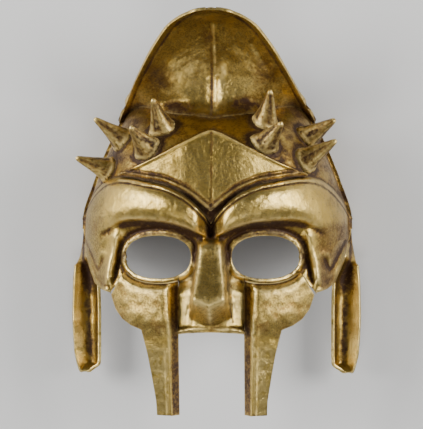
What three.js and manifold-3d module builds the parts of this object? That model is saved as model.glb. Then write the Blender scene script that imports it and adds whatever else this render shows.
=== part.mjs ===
// A gilded carnival mask in the form of a gladiator's helmet front, lying on its back with the face up.
// +X is the viewer's right, +Y runs up the face to the crest, and +Z points out of the face.
// The rear rim lies in the plane z = 0, and the origin is the middle of the mask's outline in that plane.
// Each plate is a thin wall whose outer face is a height over the plane; the plates meet at narrow seams.

import * as THREE from 'three';
import { mergeVertices } from 'three/addons/utils/BufferGeometryUtils.js';
import Module from 'manifold-3d';

const wasm = await Module();
wasm.setup();

// Driving dimensions, in millimetres.
const TOP = 123;
const BOTTOM = -127.5;
const MIDDLE = (TOP + BOTTOM) / 2;
const WALL = 2.6;
const SEAM = 0.3;
const FLANGE_WIDTH = 2.5;
const FLANGE_HEIGHT = WALL;
const HEAD_SQUARENESS = 2.4;

const EYE = { x: 33.2, y: -29.8, halfWidth: 20.8, halfHeight: 13.2, squareness: 2.3 };
const EYE_RIM = { offset: 1.3, radius: 1.9, sides: 6, steps: 32 };
const SOCKET = { depth: 5, inner: 1.2, outer: 1.85 };
const CHEEK_SEAM_OFFSET = 3.2;
const FANG_INNER_X = 20.1;
const BAR = { ridgeTopY: -46, ridgeTop: 26, ridgeBottom: 24.3, bevelDrop: 8, rise: 2, cheekSwell: 3 };
const LIP = { y: -73.5, halfLength: 6, height: 4.5, edgeY: -75.4, endY: -77 };
const PANEL = { from: 13, drop: 5, top: -41, fade: 4 };
const EYE_COLUMN = { topX: 60.5, topY: -18, bottomX: 67, bottomY: -50, halfWidth: 4, height: 4.5 };
const TEMPLE_CREASE = { radius: 1.7, sides: 6, steps: 12 };
const BROW_ROUNDNESS = 2.6;
const KEEL = { height: 2.6, halfWidth: 3.2, fadeFrom: 98, fadeTo: 118 };
const CREST_LIP = { height: 3, width: 4 };
const CREST_FOLD_LENGTH = 7;
const PLATE_LEAN = 0.0019;
const CHANNEL = { middle: 0.56, inner: 21, outer: 13, exponent: 1.8, endLip: 11, endLength: 8 };
const SPIKE = { radius: 8.6, tipRadius: 1.3, root: 9, sides: 12, waist: 0.93 };
const CUTTER = { low: -20, height: 160 };
const SEAT = { low: -30, from: 4, to: 84, half: 82, rows: 32, columns: 64 };
const GOLD = { color: 0xb98f3c, roughness: 0.34, metalness: 1 };

// Cross-sections of the head form, from the chin to the crown: half its width, and how far it stands forward.
const HEAD_SECTIONS = [
  { y: -128, half: 66, depth: 72 },
  { y: -100, half: 74, depth: 77 },
  { y: -77, half: 80, depth: 80 },
  { y: -55, half: 85, depth: 79 },
  { y: -30, half: 88, depth: 78 },
  { y: -5, half: 87.3, depth: 80 },
  { y: 15, half: 81.3, depth: 79 },
  { y: 34, half: 74, depth: 74 },
  { y: 44, half: 69.5, depth: 66 },
  { y: 51, half: 66, depth: 57 },
  { y: 57, half: 63, depth: 48 },
  { y: 68, half: 57.5, depth: 36 },
];

// The crest: half its width, and how far its middle line and its rim stand forward.
const CREST_SECTIONS = [
  { y: 53, half: 65.2, spine: 51, rim: 3 },
  { y: 57, half: 63.2, spine: 46, rim: 10 },
  { y: 62, half: 60.2, spine: 41, rim: 20 },
  { y: 69, half: 55.8, spine: 37, rim: 31 },
  { y: 78.6, half: 50.1, spine: 36, rim: 42 },
  { y: 88, half: 44.4, spine: 39, rim: 50 },
  { y: 97.5, half: 38.4, spine: 45, rim: 57 },
  { y: 106.9, half: 31.4, spine: 54, rim: 64 },
  { y: 112, half: 27, spine: 60, rim: 68 },
  { y: 116.4, half: 21.8, spine: 66.5, rim: 71.5 },
  { y: 120, half: 15, spine: 72.5, rim: 75 },
  { y: 122, half: 9, spine: 76, rim: 77 },
  { y: TOP, half: 3, spine: 77.5, rim: 77.5 },
];

// Where the crest folds out of the skull, and where the brows meet the skull, from the middle outwards.
const FOLD_LINE = [
  { x: 0, y: 57 },
  { x: 14, y: 59 },
  { x: 28, y: 60.5 },
  { x: 40, y: 64 },
  { x: 48, y: 65.5 },
  { x: 54, y: 64 },
  { x: 59, y: 60 },
  { x: 63.5, y: 56 },
];
const BROW_TOP = [
  { x: 0, y: -9.3 },
  { x: 3, y: -4.5 },
  { x: 9, y: 2.5 },
  { x: 15, y: 7.7 },
  { x: 21, y: 11.3 },
  { x: 30, y: 15 },
  { x: 40, y: 17.1 },
  { x: 49, y: 18.9 },
  { x: 58, y: 19.8 },
  { x: 66, y: 18.5 },
  { x: 74, y: 13.5 },
  { x: 81, y: 5.5 },
  { x: 87, y: -4.5 },
];

// The lower edge of each rounded brow, and how far the brow swells there.
const BROWS = [
  { x: 0, low: -19, swell: 0 },
  { x: 4, low: -17.6, swell: 1 },
  { x: 9, low: -15.2, swell: 8 },
  { x: 16, low: -12, swell: 10 },
  { x: 30, low: -8.6, swell: 11 },
  { x: 46, low: -7.8, swell: 11 },
  { x: 55, low: -8.7, swell: 10.5 },
  { x: 64, low: -12.4, swell: 9 },
  { x: 76, low: -17.8, swell: 6.5 },
  { x: 87, low: -22, swell: 2 },
];

// The free upper edge of the brow plate.
const PLATE_TOP = [
  { x: 0, y: 47.9 },
  { x: 5, y: 46.4 },
  { x: 18.3, y: 39.8 },
  { x: 30.5, y: 33.3 },
  { x: 45.8, y: 26.3 },
  { x: 59, y: 21.4 },
];

// The lower edge of the brow plate, which leaves a groove above the brows.
const PLATE_FOOT = [
  { x: 0, y: -1.8 },
  { x: 3, y: 0.6 },
  { x: 9, y: 5.6 },
  { x: 15, y: 9.8 },
  { x: 21, y: 12.8 },
  { x: 30, y: 16.2 },
  { x: 40, y: 18 },
  { x: 49, y: 19.5 },
  { x: 59, y: 20.2 },
];

// The nose, from its lower end up: half-widths of its flat front and of its foot, and the front's height.
const NOSE = [
  { y: -72, front: 10.5, foot: 16.5, height: 83 },
  { y: -68.5, front: 10.4, foot: 16.2, height: 87 },
  { y: -62, front: 10.1, foot: 15.6, height: 97 },
  { y: -56, front: 9.7, foot: 14.8, height: 104 },
  { y: -45, front: 8.7, foot: 13, height: 97.5 },
  { y: -33, front: 7.6, foot: 11, height: 91 },
  { y: -21, front: 6.4, foot: 8.6, height: 86 },
  { y: -18.5, front: 6.2, foot: 7.4, height: 76 },
];

// The outer and inner edges of the bar that hangs from each cheek, and the rounded cheek above it.
const CHEEK_OUTLINE = [
  { x: 63.2, y: -53.4 },
  { x: 60.2, y: -62 },
  { x: 55.7, y: -68 },
  { x: 50, y: -71.8 },
  { x: 43.2, y: -74.4 },
  { x: 39.4, y: -89.2 },
  { x: 37, y: -102.5 },
  { x: 34.4, y: -118.5 },
  { x: 34, y: BOTTOM },
];

// The lower edge of the temple, from the cheek out to the side guard.
const TEMPLE_OUTLINE = [
  { x: 64, y: -52.2 },
  { x: 71, y: -50.2 },
  { x: 76, y: -46.8 },
  { x: 82.2, y: -33 },
  { x: 86.9, y: -13 },
];

// A small fold pressed into each temple.
const TEMPLE_CREASE_LINE = [
  { x: 82.4, y: -21.5 },
  { x: 78, y: -29.5 },
  { x: 73, y: -38 },
  { x: 69.6, y: -31.5 },
];

// Each side guard: a channel hanging from the temple, its two edges at each height, and how deep it is.
const GUARD_SECTIONS = [
  { y: -104.8, inner: 83.6, outer: 86.6, hollow: 0.6 },
  { y: -102, inner: 80.2, outer: 88.4, hollow: 0.85 },
  { y: -98.6, inner: 76, outer: 89.9, hollow: 1 },
  { y: -91, inner: 75.8, outer: 91.8, hollow: 1 },
  { y: -68, inner: 75.8, outer: 93, hollow: 1 },
  { y: -47, inner: 76.4, outer: 92.5, hollow: 1 },
  { y: -33, inner: 82.4, outer: 90.6, hollow: 0.6 },
  { y: -22, inner: 85.2, outer: 88.6, hollow: 0.2 },
  { y: -13, inner: 87.4, outer: 88.2, hollow: 0 },
];

// Each spike: where its base stands, which way it points, and its length.
const SPIKES = [
  { name: 'spike_left_1', x: -31.9, y: 50.2, toX: -4.6, toY: 17.8, toZ: 15.4, length: 24 },
  { name: 'spike_left_2', x: -58.2, y: 43.6, toX: -17.1, toY: 13.7, toZ: 9.8, length: 24 },
  { name: 'spike_left_3', x: -66.8, y: 24.5, toX: -19.5, toY: 7.9, toZ: 11.6, length: 24 },
  { name: 'spike_left_4', x: -40.5, y: 37.6, toX: -10.8, toY: 14.4, toZ: 15.9, length: 21 },
  { name: 'spike_right_1', x: 32.8, y: 54, toX: 3.6, toY: 19.7, toZ: 13.3, length: 24 },
  { name: 'spike_right_2', x: 32.6, y: 40.4, toX: 12, toY: 13.6, toZ: 15.8, length: 22 },
  { name: 'spike_right_3', x: 58.7, y: 45.2, toX: 17.5, toY: 11, toZ: 12.1, length: 24 },
  { name: 'spike_right_4', x: 58, y: 30.4, toX: 19.3, toY: 12.5, toZ: 8.5, length: 24 },
];

const { clamp, lerp, smoothstep } = THREE.MathUtils;

// A smooth curve through a table's rows, from one named column to another, that never overshoots them.
function curve(rows, from, to) {
  const at = rows.map((row) => row[from]);
  const value = rows.map((row) => row[to]);
  const slope = value.slice(1).map((v, i) => (v - value[i]) / (at[i + 1] - at[i]));
  const tangent = value.map((_, i) => {
    const before = slope[Math.max(i - 1, 0)];
    const after = slope[Math.min(i, slope.length - 1)];
    return before * after <= 0 ? 0 : (2 * before * after) / (before + after);
  });
  return (s) => {
    const place = clamp(s, at[0], at[at.length - 1]);
    let i = 0;
    while (i < at.length - 2 && place > at[i + 1]) i++;
    const span = at[i + 1] - at[i];
    const t = (place - at[i]) / span;
    const rise = value[i + 1] - value[i];
    const bend = t * (1 - t) * (tangent[i] * span * (1 - t) - tangent[i + 1] * span * t);
    return value[i] + rise * t * t * (3 - 2 * t) + bend;
  };
}

const headHalf = curve(HEAD_SECTIONS, 'y', 'half');
const headDepth = curve(HEAD_SECTIONS, 'y', 'depth');
const crestHalf = curve(CREST_SECTIONS, 'y', 'half');
const crestSpine = curve(CREST_SECTIONS, 'y', 'spine');
const crestRim = curve(CREST_SECTIONS, 'y', 'rim');
const foldLine = curve(FOLD_LINE, 'x', 'y');
const browTop = curve(BROW_TOP, 'x', 'y');
const browLow = curve(BROWS, 'x', 'low');
const browSwell = curve(BROWS, 'x', 'swell');
const plateTop = curve(PLATE_TOP, 'x', 'y');
const plateFoot = curve(PLATE_FOOT, 'x', 'y');
const noseFront = curve(NOSE, 'y', 'front');
const noseFoot = curve(NOSE, 'y', 'foot');
const noseHeight = curve(NOSE, 'y', 'height');
const guardInner = curve(GUARD_SECTIONS, 'y', 'inner');
const guardOuter = curve(GUARD_SECTIONS, 'y', 'outer');
const guardHollow = curve(GUARD_SECTIONS, 'y', 'hollow');

// The plain head form that every plate follows.
function headForm(x, y) {
  const reach = Math.min(1, Math.abs(x) / (headHalf(y) - FLANGE_WIDTH));
  return headDepth(y) * Math.sqrt(1 - reach ** HEAD_SQUARENESS);
}

// The skull, with the flat flange that runs round its rear rim.
function skullHeight(x, y) {
  return Math.max(headForm(x, y), FLANGE_HEIGHT);
}

// The crest: a scoop with a soft keel down its middle and a raised lip, that leaves the skull at the fold.
function crestForm(x, y) {
  const half = crestHalf(y);
  const reach = Math.abs(x) / half;
  const widening = crestHalf(y + 0.5) - crestHalf(y - 0.5);
  const edge = (half - Math.abs(x)) / Math.hypot(1, widening);
  const fading = 1 - smoothstep(y, KEEL.fadeFrom, KEEL.fadeTo);
  const keel = KEEL.height * Math.exp(-((x / KEEL.halfWidth) ** 2)) * fading;
  const lip = CREST_LIP.height * (1 - smoothstep(edge, 0, CREST_LIP.width));
  return lerp(crestSpine(y), crestRim(y), Math.min(1, reach) ** 2) + keel + lip;
}

function crestHeight(x, y) {
  const fold = foldLine(Math.abs(x));
  const step = skullHeight(x, fold) - crestForm(x, fold);
  return crestForm(x, y) + step * Math.exp(-Math.max(0, y - fold) / CREST_FOLD_LENGTH);
}

// How far out a point lies from an eye's middle: 1 on the edge of the opening.
function eyeReach(x, y) {
  const across = (Math.abs(Math.abs(x) - EYE.x) / EYE.halfWidth) ** EYE.squareness;
  const up = (Math.abs(y - EYE.y) / EYE.halfHeight) ** EYE.squareness;
  return (across + up) ** (1 / EYE.squareness);
}

// The rounded brow over each eye.
function browRise(x, y) {
  const across = Math.abs(x);
  const t = (y - browLow(across)) / (browTop(across) - browLow(across));
  if (t <= 0 || t >= 1) return 0;
  return browSwell(across) * Math.sqrt(1 - Math.abs(2 * t - 1) ** BROW_ROUNDNESS);
}

// The upright roll of metal just outside each eye.
function columnRise(x, y) {
  const t = clamp((y - EYE_COLUMN.topY) / (EYE_COLUMN.bottomY - EYE_COLUMN.topY), 0, 1);
  const away = Math.hypot(
    Math.abs(x) - lerp(EYE_COLUMN.topX, EYE_COLUMN.bottomX, t),
    y - lerp(EYE_COLUMN.topY, EYE_COLUMN.bottomY, t),
  );
  return EYE_COLUMN.height * Math.exp(-((away / EYE_COLUMN.halfWidth) ** 2));
}

// The visor: brows, eye sockets, nose, the panels beside it and the lip below it.
function visorHeight(x, y) {
  const across = Math.abs(x);
  const underBrow = 1 - smoothstep(y, browLow(across) - 2, browLow(across) + 2);
  const socket = SOCKET.depth * (1 - smoothstep(eyeReach(x, y), SOCKET.inner, SOCKET.outer)) * underBrow;
  const beside = across < FANG_INNER_X + 1 ? 1 : 0;
  const panelTop = 1 - smoothstep(y, PANEL.top - PANEL.fade, PANEL.top);
  const panel = PANEL.drop * smoothstep(across, PANEL.from, FANG_INNER_X) * panelTop * beside;
  const face = skullHeight(x, y) + browRise(x, y) + columnRise(x, y) - socket - panel;
  const lip = LIP.height * Math.exp(-(((y - LIP.y) / (LIP.halfLength / 2)) ** 2)) * beside;
  const side = (across - noseFront(y)) / (noseFoot(y) - noseFront(y));
  const nose = y < NOSE[NOSE.length - 1].y ? (noseHeight(y) - face) * clamp(1 - side, 0, 1) : 0;
  return face + Math.max(lip, nose);
}

// The brow plate stands on the skull along its lower edge and parts from it above.
function plateHeight(x, y) {
  const foot = plateFoot(Math.abs(x));
  const upright = outset(skullHeight, SEAM + WALL)(x, foot) - PLATE_LEAN * (y - foot) ** 2;
  return Math.max(upright, outset(skullHeight, SEAM + WALL)(x, y));
}

// How far out the ridge of a hanging bar stands.
function ridgeLine(y) {
  return lerp(BAR.ridgeTop, BAR.ridgeBottom, clamp((y - BAR.ridgeTopY) / (BOTTOM - BAR.ridgeTopY), 0, 1));
}

// A cheek and its bar: a long ridge with a bevel falling from it to the inner edge.
function cheekHeight(x, y) {
  const across = Math.abs(x);
  const ridge = ridgeLine(y);
  const bevel = BAR.bevelDrop * clamp((ridge - across) / (ridge - FANG_INNER_X), 0, 1);
  const swell = BAR.cheekSwell * smoothstep(y, -82, -64);
  return headForm(x, y) + swell + BAR.rise - bevel;
}

// A side guard: an open channel whose hollow faces forward. Its inner edge stands higher than its outer one.
function guardHeight(x, y) {
  const across = clamp((Math.abs(x) - guardInner(y)) / (guardOuter(y) - guardInner(y)), 0, 1);
  const inwards = across < CHANNEL.middle;
  const s = inwards ? 1 - across / CHANNEL.middle : (across - CHANNEL.middle) / (1 - CHANNEL.middle);
  const wall = (inwards ? CHANNEL.inner : CHANNEL.outer) * guardHollow(y);
  const tip = GUARD_SECTIONS[0].y;
  const end = CHANNEL.endLip * (1 - smoothstep(y, tip, tip + CHANNEL.endLength));
  return WALL + Math.max(wall * s ** CHANNEL.exponent, end);
}

// Samples over a ball of radius 1, used to move a surface by an even distance.
const DISC = [{ x: 0, y: 0, rise: 1 }];
for (const r of [0.55, 0.9]) {
  for (let i = 0; i < 8; i++) {
    const turn = (i * Math.PI) / 4;
    DISC.push({ x: r * Math.cos(turn), y: r * Math.sin(turn), rise: Math.sqrt(1 - r ** 2) });
  }
}

// The surface that lies a wall's thickness inside another one, no lower than the plane of the rim.
function inset(height, distance) {
  return (x, y) => {
    const low = DISC.map((d) => height(x + d.x * distance, y + d.y * distance) - distance * d.rise);
    return Math.max(0, Math.min(...low));
  };
}

function outset(height, distance) {
  return (x, y) => {
    const high = DISC.map((d) => height(x + d.x * distance, y + d.y * distance) + distance * d.rise);
    return Math.max(...high);
  };
}

// Numbers from one value to another in equal steps, both ends included.
function steps(from, to, count) {
  return Array.from({ length: count + 1 }, (_, i) => lerp(from, to, i / count));
}

function solidOf(geometry) {
  const bare = geometry.clone();
  bare.deleteAttribute('normal');
  bare.deleteAttribute('uv');
  const merged = mergeVertices(bare, 1e-4);
  return new wasm.Manifold(
    new wasm.Mesh({
      numProp: 3,
      vertProperties: new Float32Array(merged.attributes.position.array),
      triVerts: new Uint32Array(merged.index.array),
    }),
  );
}

function geometryOf(solid) {
  const mesh = solid.getMesh();
  const geometry = new THREE.BufferGeometry();
  const points = new Float32Array(mesh.numVert * 3);
  for (let i = 0; i < mesh.numVert; i++) {
    points.set(mesh.vertProperties.subarray(i * mesh.numProp, i * mesh.numProp + 3), i * 3);
  }
  geometry.setAttribute('position', new THREE.BufferAttribute(points, 3));
  geometry.setIndex(new THREE.BufferAttribute(new Uint32Array(mesh.triVerts), 1));
  geometry.computeVertexNormals();
  return geometry;
}

// A solid of the right side, or its mirror image for the left one.
function onSide(solid, side) {
  return side > 0 ? solid : solid.mirror([1, 0, 0]);
}

// A closed body between two surfaces over a grid of points. Rows run up the face and columns to the right.
function gridSolid(rows, upper, lower) {
  const height = rows.length;
  const width = rows[0].length;
  const points = [];
  for (const surface of [lower, upper]) {
    for (const row of rows) {
      for (const { x, y } of row) points.push(x, y, surface(x, y));
    }
  }
  const at = (layer, row, column) => (layer * height + row) * width + column;
  const faces = [];
  const quad = (a, b, c, d) => faces.push(a, b, c, a, c, d);
  for (let r = 0; r < height - 1; r++) {
    for (let c = 0; c < width - 1; c++) {
      quad(at(1, r, c), at(1, r, c + 1), at(1, r + 1, c + 1), at(1, r + 1, c));
      quad(at(0, r, c), at(0, r + 1, c), at(0, r + 1, c + 1), at(0, r, c + 1));
    }
  }
  for (let c = 0; c < width - 1; c++) {
    quad(at(0, 0, c), at(0, 0, c + 1), at(1, 0, c + 1), at(1, 0, c));
    quad(at(1, height - 1, c), at(1, height - 1, c + 1), at(0, height - 1, c + 1), at(0, height - 1, c));
  }
  for (let r = 0; r < height - 1; r++) {
    quad(at(1, r, 0), at(1, r + 1, 0), at(0, r + 1, 0), at(0, r, 0));
    quad(at(0, r, width - 1), at(0, r + 1, width - 1), at(1, r + 1, width - 1), at(1, r, width - 1));
  }
  const geometry = new THREE.BufferGeometry();
  geometry.setAttribute('position', new THREE.Float32BufferAttribute(points, 3));
  geometry.setIndex(faces);
  return solidOf(geometry);
}

// Places across a row, closer together towards its two ends.
function spreadRow(half, columns) {
  return steps(-90, 90, columns).map((turn) => half * Math.sin(THREE.MathUtils.degToRad(turn)));
}

// An upright block with the given outline, tall enough to cut through every plate.
function prism(outline) {
  const shape = new THREE.Shape(outline.map(({ x, y }) => new THREE.Vector2(x, y)));
  const geometry = new THREE.ExtrudeGeometry(shape, { depth: CUTTER.height, bevelEnabled: false });
  return solidOf(geometry.translate(0, 0, CUTTER.low));
}

// The points of a half outline, then their mirror images back to the start.
function mirrored(half) {
  const back = half.filter(({ x }) => x > 0).map(({ x, y }) => ({ x: -x, y }));
  return [...half, ...back.reverse()];
}

function lineOf(rule, from, to, count, shift) {
  return steps(from, to, count).map((x) => ({ x, y: rule(Math.abs(x)) + shift }));
}

// A point on the ring round an eye, at a distance outside the opening.
function eyePoint(turn, offset) {
  const bend = (v) => Math.sign(v) * Math.abs(v) ** (2 / EYE.squareness);
  return {
    x: EYE.x + (EYE.halfWidth + offset) * bend(Math.cos(turn)),
    y: EYE.y + (EYE.halfHeight + offset) * bend(Math.sin(turn)),
  };
}

// The seam between the visor and a cheek, from the lip up past the nose and round under the eye.
function cheekSeam(gap) {
  const from = THREE.MathUtils.degToRad(-124);
  const to = THREE.MathUtils.degToRad(-30);
  const round = steps(from, to, 10).map((turn) => eyePoint(turn, CHEEK_SEAM_OFFSET + gap));
  const start = FANG_INNER_X + gap;
  return [
    { x: start, y: LIP.endY - 1 },
    { x: start, y: round[0].y - 1 },
    ...round.filter(({ x }) => x > start + 0.2),
  ];
}

// The skull runs from the brows to the crest's fold. Its grid follows both lines and is cut along them.
function skullShell() {
  const rows = steps(0, 1, 14).map((t) => {
    const between = (x) => lerp(browTop(x) - 1, foldLine(x) + 1, t);
    let half = headHalf(0);
    for (let pass = 0; pass < 20; pass++) half = (half + headHalf(between(half))) / 2;
    return spreadRow(half, 26).map((x) => ({ x, y: between(Math.abs(x)) }));
  });
  const outline = [
    ...visorColumns(-18).map((x) => ({ x, y: browTop(Math.abs(x)) + SEAM / 2 })),
    { x: 92, y: -4.5 },
    { x: 92, y: 56 },
    ...lineOf(foldLine, 63.5, -63.5, 36, -SEAM / 2),
    { x: -92, y: 56 },
    { x: -92, y: -4.5 },
  ];
  return gridSolid(rows, skullHeight, inset(skullHeight, WALL)).intersect(prism(outline));
}

function crest() {
  const heights = [54, 58, 62, 66, 71, 77, 83.5, 90, 96.5, 102, 107, 112, 116.4, 120, 122, TOP];
  const rows = heights.map((y) => spreadRow(crestHalf(y), 22).map((x) => ({ x, y })));
  const shell = gridSolid(rows, crestHeight, inset(crestHeight, WALL));
  const outline = [
    { x: -90, y: 56 },
    ...lineOf(foldLine, -63.5, 63.5, 36, SEAM / 2),
    { x: 90, y: 56 },
    { x: 90, y: 140 },
    { x: -90, y: 140 },
  ];
  return shell.intersect(prism(outline));
}

function browPlate() {
  const end = PLATE_TOP[PLATE_TOP.length - 1].x;
  const across = steps(-end, end, 28);
  const rows = steps(0, 1, 7).map((t) =>
    across.map((x) => ({ x, y: lerp(plateFoot(Math.abs(x)), plateTop(Math.abs(x)), t) })),
  );
  return gridSolid(rows, plateHeight, inset(plateHeight, WALL));
}

// The raised ring round an eye: a torus bent to the opening's outline and laid on the visor.
function eyeRim(side) {
  const ring = new THREE.TorusGeometry(EYE.halfWidth, EYE_RIM.radius, EYE_RIM.sides, EYE_RIM.steps);
  const place = ring.attributes.position;
  for (let i = 0; i < place.count; i++) {
    const x = place.getX(i);
    const y = place.getY(i);
    const turn = Math.atan2(y, x);
    const middle = eyePoint(turn, EYE_RIM.offset);
    const edge = eyePoint(turn, EYE_RIM.offset + Math.hypot(x, y) - EYE.halfWidth);
    place.setXYZ(i, edge.x, edge.y, place.getZ(i) + visorHeight(middle.x, middle.y));
  }
  const solid = solidOf(ring);
  return onSide(solid, side);
}

function eyeOpening(side) {
  const turns = steps(0, 2 * Math.PI, 36).slice(0, -1);
  const outline = turns.map((turn) => eyePoint(turn, 0));
  const solid = prism(outline);
  return onSide(solid, side);
}

// A fold pressed into a temple, as the groove that a rounded tool leaves.
function templeCrease(side) {
  const points = TEMPLE_CREASE_LINE.map(({ x, y }) => new THREE.Vector3(x, y, visorHeight(x, y)));
  const path = new THREE.CatmullRomCurve3(points);
  const turns = steps(0, 2 * Math.PI, TEMPLE_CREASE.sides).slice(0, -1);
  const { radius } = TEMPLE_CREASE;
  const round = turns.map((turn) => new THREE.Vector2(radius * Math.cos(turn), radius * Math.sin(turn)));
  const sweep = { steps: TEMPLE_CREASE.steps, extrudePath: path, bevelEnabled: false };
  const groove = new THREE.ExtrudeGeometry(new THREE.Shape(round), sweep);
  const solid = solidOf(groove);
  return onSide(solid, side);
}

// The places across the visor's grid: the nose's own edges, then even columns out to the temple.
function visorColumns(y) {
  const eye = [17.5, 20, 22.5, 26, 30, 34, 38.5, 43, 47.5, 51.5, 55];
  const temple = [58, 61, 64, 67, 70, 73.5, 77, 80, 82.5, 84.5, 87];
  const right = [noseFront(y) / 2, noseFront(y), noseFoot(y), ...eye, ...temple];
  return [...right.map((x) => -x).reverse(), 0, ...right];
}

function visor() {
  const lower = [-77.5, -74.5, -71.5, -68.5, -65.5, -62, -59, -56, -52, -48, -44, -39, -34, -29, -24.5];
  const row = (y, between) => visorColumns(y).map((x) => ({ x, y: between(Math.abs(x)) }));
  const top = lower[lower.length - 1];
  const rows = [
    ...lower.map((y) => row(y, () => y)),
    ...[0.55, 1].map((t) => row(lerp(top, -19, t), (x) => lerp(top, browLow(x), t))),
    ...[0.04, 0.14, 0.3, 0.5, 0.7, 0.86, 0.96, 1].map((t) =>
      row(-18, (x) => lerp(browLow(x), browTop(x) - SEAM / 2, t)),
    ),
  ];
  const outline = mirrored([
    { x: 0, y: LIP.edgeY },
    { x: 8, y: LIP.edgeY - 0.2 },
    { x: 15, y: LIP.edgeY - 0.8 },
    { x: FANG_INNER_X - SEAM / 2, y: LIP.endY },
    ...cheekSeam(-SEAM / 2).slice(1),
    ...TEMPLE_OUTLINE,
    { x: 88, y: -4.5 },
    { x: 88, y: 30 },
    { x: 0, y: 30 },
  ]);
  let solid = gridSolid(rows, visorHeight, inset(visorHeight, WALL)).intersect(prism(outline));
  for (const side of [-1, 1]) {
    solid = solid.add(eyeRim(side).intersect(prism(outline)));
    solid = solid.subtract(eyeOpening(side)).subtract(templeCrease(side));
  }
  return solid;
}

function cheekPlate(side) {
  const heights = [BOTTOM, -118, -108, -98, -88, -80, -74, -69, -64, -59, -54, -49, -45, -41, -36];
  const rows = heights.map((y) => {
    const ridge = ridgeLine(y);
    const outer = y < LIP.endY + 1 ? 44.5 : 66;
    const places = [FANG_INNER_X - SEAM, (FANG_INNER_X + ridge) / 2, ...steps(ridge, outer, 8)];
    return places.map((x) => ({ x, y }));
  });
  const outline = [
    { x: FANG_INNER_X, y: BOTTOM },
    { x: FANG_INNER_X, y: LIP.endY - 1.2 },
    ...cheekSeam(SEAM / 2),
    ...CHEEK_OUTLINE,
  ];
  const solid = gridSolid(rows, cheekHeight, inset(cheekHeight, WALL)).intersect(prism(outline));
  return onSide(solid, side);
}

function sideGuard(side) {
  const end = [-104.8, -102, -98.6, -95];
  const channel = [-91, -83, -75, -68, -61, -54, -47, -40, -33, -27, -22, -17, -13];
  const across = (y) => steps(guardInner(y), guardOuter(y), 12);
  const rows = [...end, ...channel].map((y) => across(y).map((x) => ({ x, y })));
  const solid = gridSolid(rows, guardHeight, inset(guardHeight, WALL));
  return onSide(solid, side);
}

// A cone with a rounded tip, turned to its direction and cut to sit on the plates below it.
function spike({ x, y, toX, toY, toZ, length }, seat, plates) {
  const profile = [
    new THREE.Vector2(0, -SPIKE.root),
    new THREE.Vector2(SPIKE.radius, -SPIKE.root),
    new THREE.Vector2(SPIKE.radius, 0),
    new THREE.Vector2(lerp(SPIKE.radius, SPIKE.tipRadius, 0.5) * SPIKE.waist, length / 2),
    new THREE.Vector2(SPIKE.tipRadius, length - SPIKE.tipRadius),
    new THREE.Vector2(SPIKE.tipRadius * 0.6, length - SPIKE.tipRadius * 0.3),
    new THREE.Vector2(0, length),
  ];
  const cone = new THREE.LatheGeometry(profile, SPIKE.sides);
  const out = new THREE.Vector3(toX, toY, toZ).normalize();
  cone.applyQuaternion(new THREE.Quaternion().setFromUnitVectors(new THREE.Vector3(0, 1, 0), out));
  cone.translate(x, y, skullHeight(x, y) + SEAM);
  const grown = plates.translate(out.clone().multiplyScalar(SEAM).toArray());
  const parts = solidOf(cone).subtract(seat).subtract(plates).subtract(grown).decompose();
  return parts.sort((a, b) => b.volume() - a.volume())[0];
}

// The whole forehead grown by the seam and filled down past the rim, which shapes the foot of each spike.
function spikeSeat() {
  const surface = (x, y) => {
    if (y > foldLine(Math.abs(x))) return crestHeight(x, y);
    return y < browTop(Math.abs(x)) ? visorHeight(x, y) : skullHeight(x, y);
  };
  const across = steps(-SEAT.half, SEAT.half, SEAT.columns);
  const rows = steps(SEAT.from, SEAT.to, SEAT.rows).map((y) => across.map((x) => ({ x, y })));
  return gridSolid(rows, outset(surface, SEAM), () => SEAT.low);
}

const gold = new THREE.MeshStandardMaterial(GOLD);
const mask = new THREE.Group();

function addPiece(name, solid) {
  const mesh = new THREE.Mesh(geometryOf(solid), gold.clone());
  mesh.name = name;
  mesh.geometry.translate(0, -MIDDLE, 0);
  mask.add(mesh);
}

const forehead = { crest: crest(), skull_shell: skullShell(), brow_plate: browPlate(), visor: visor() };
for (const [name, solid] of Object.entries(forehead)) addPiece(name, solid);
for (const [side, word] of [[-1, 'left'], [1, 'right']]) {
  addPiece(`cheek_plate_${word}`, cheekPlate(side));
  addPiece(`side_guard_${word}`, sideGuard(side));
}
const seat = spikeSeat();
const plates = Object.values(forehead).reduce((whole, solid) => whole.add(solid));
for (const row of SPIKES) addPiece(row.name, spike(row, seat, plates));

export default mask;
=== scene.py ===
"""Dresses the gladiator's mask: shell, crest, visor, hanging bars, guards and spikes in aged gold leaf."""

import logging
import math
from dataclasses import dataclass
from enum import Enum
from typing import Callable, Sequence

import bpy
import numpy as np
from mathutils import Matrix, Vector


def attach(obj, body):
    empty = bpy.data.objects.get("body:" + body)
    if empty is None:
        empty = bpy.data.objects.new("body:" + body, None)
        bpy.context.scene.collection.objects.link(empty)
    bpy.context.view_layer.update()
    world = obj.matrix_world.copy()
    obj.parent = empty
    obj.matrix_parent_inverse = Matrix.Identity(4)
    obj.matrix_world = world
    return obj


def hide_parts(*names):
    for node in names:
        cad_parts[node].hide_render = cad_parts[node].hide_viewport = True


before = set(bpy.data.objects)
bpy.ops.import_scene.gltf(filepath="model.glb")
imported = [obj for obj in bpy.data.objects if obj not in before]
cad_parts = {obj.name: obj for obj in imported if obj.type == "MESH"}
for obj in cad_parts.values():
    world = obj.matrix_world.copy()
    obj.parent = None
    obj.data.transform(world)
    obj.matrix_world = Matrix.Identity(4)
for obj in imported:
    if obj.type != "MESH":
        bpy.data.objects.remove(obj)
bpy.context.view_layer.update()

log = logging.getLogger("mask")

MM = 0.001
MIDDLE_Y = -2.25
Array = np.ndarray
Surface = Callable[[Array, Array], Array]
Rows = Sequence[tuple[float, ...]]
# Name, foot x, foot y, direction x, y, z, length.
SpikeRow = tuple[str, float, float, float, float, float, float]
Colour = tuple[float, float, float, float]

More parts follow.
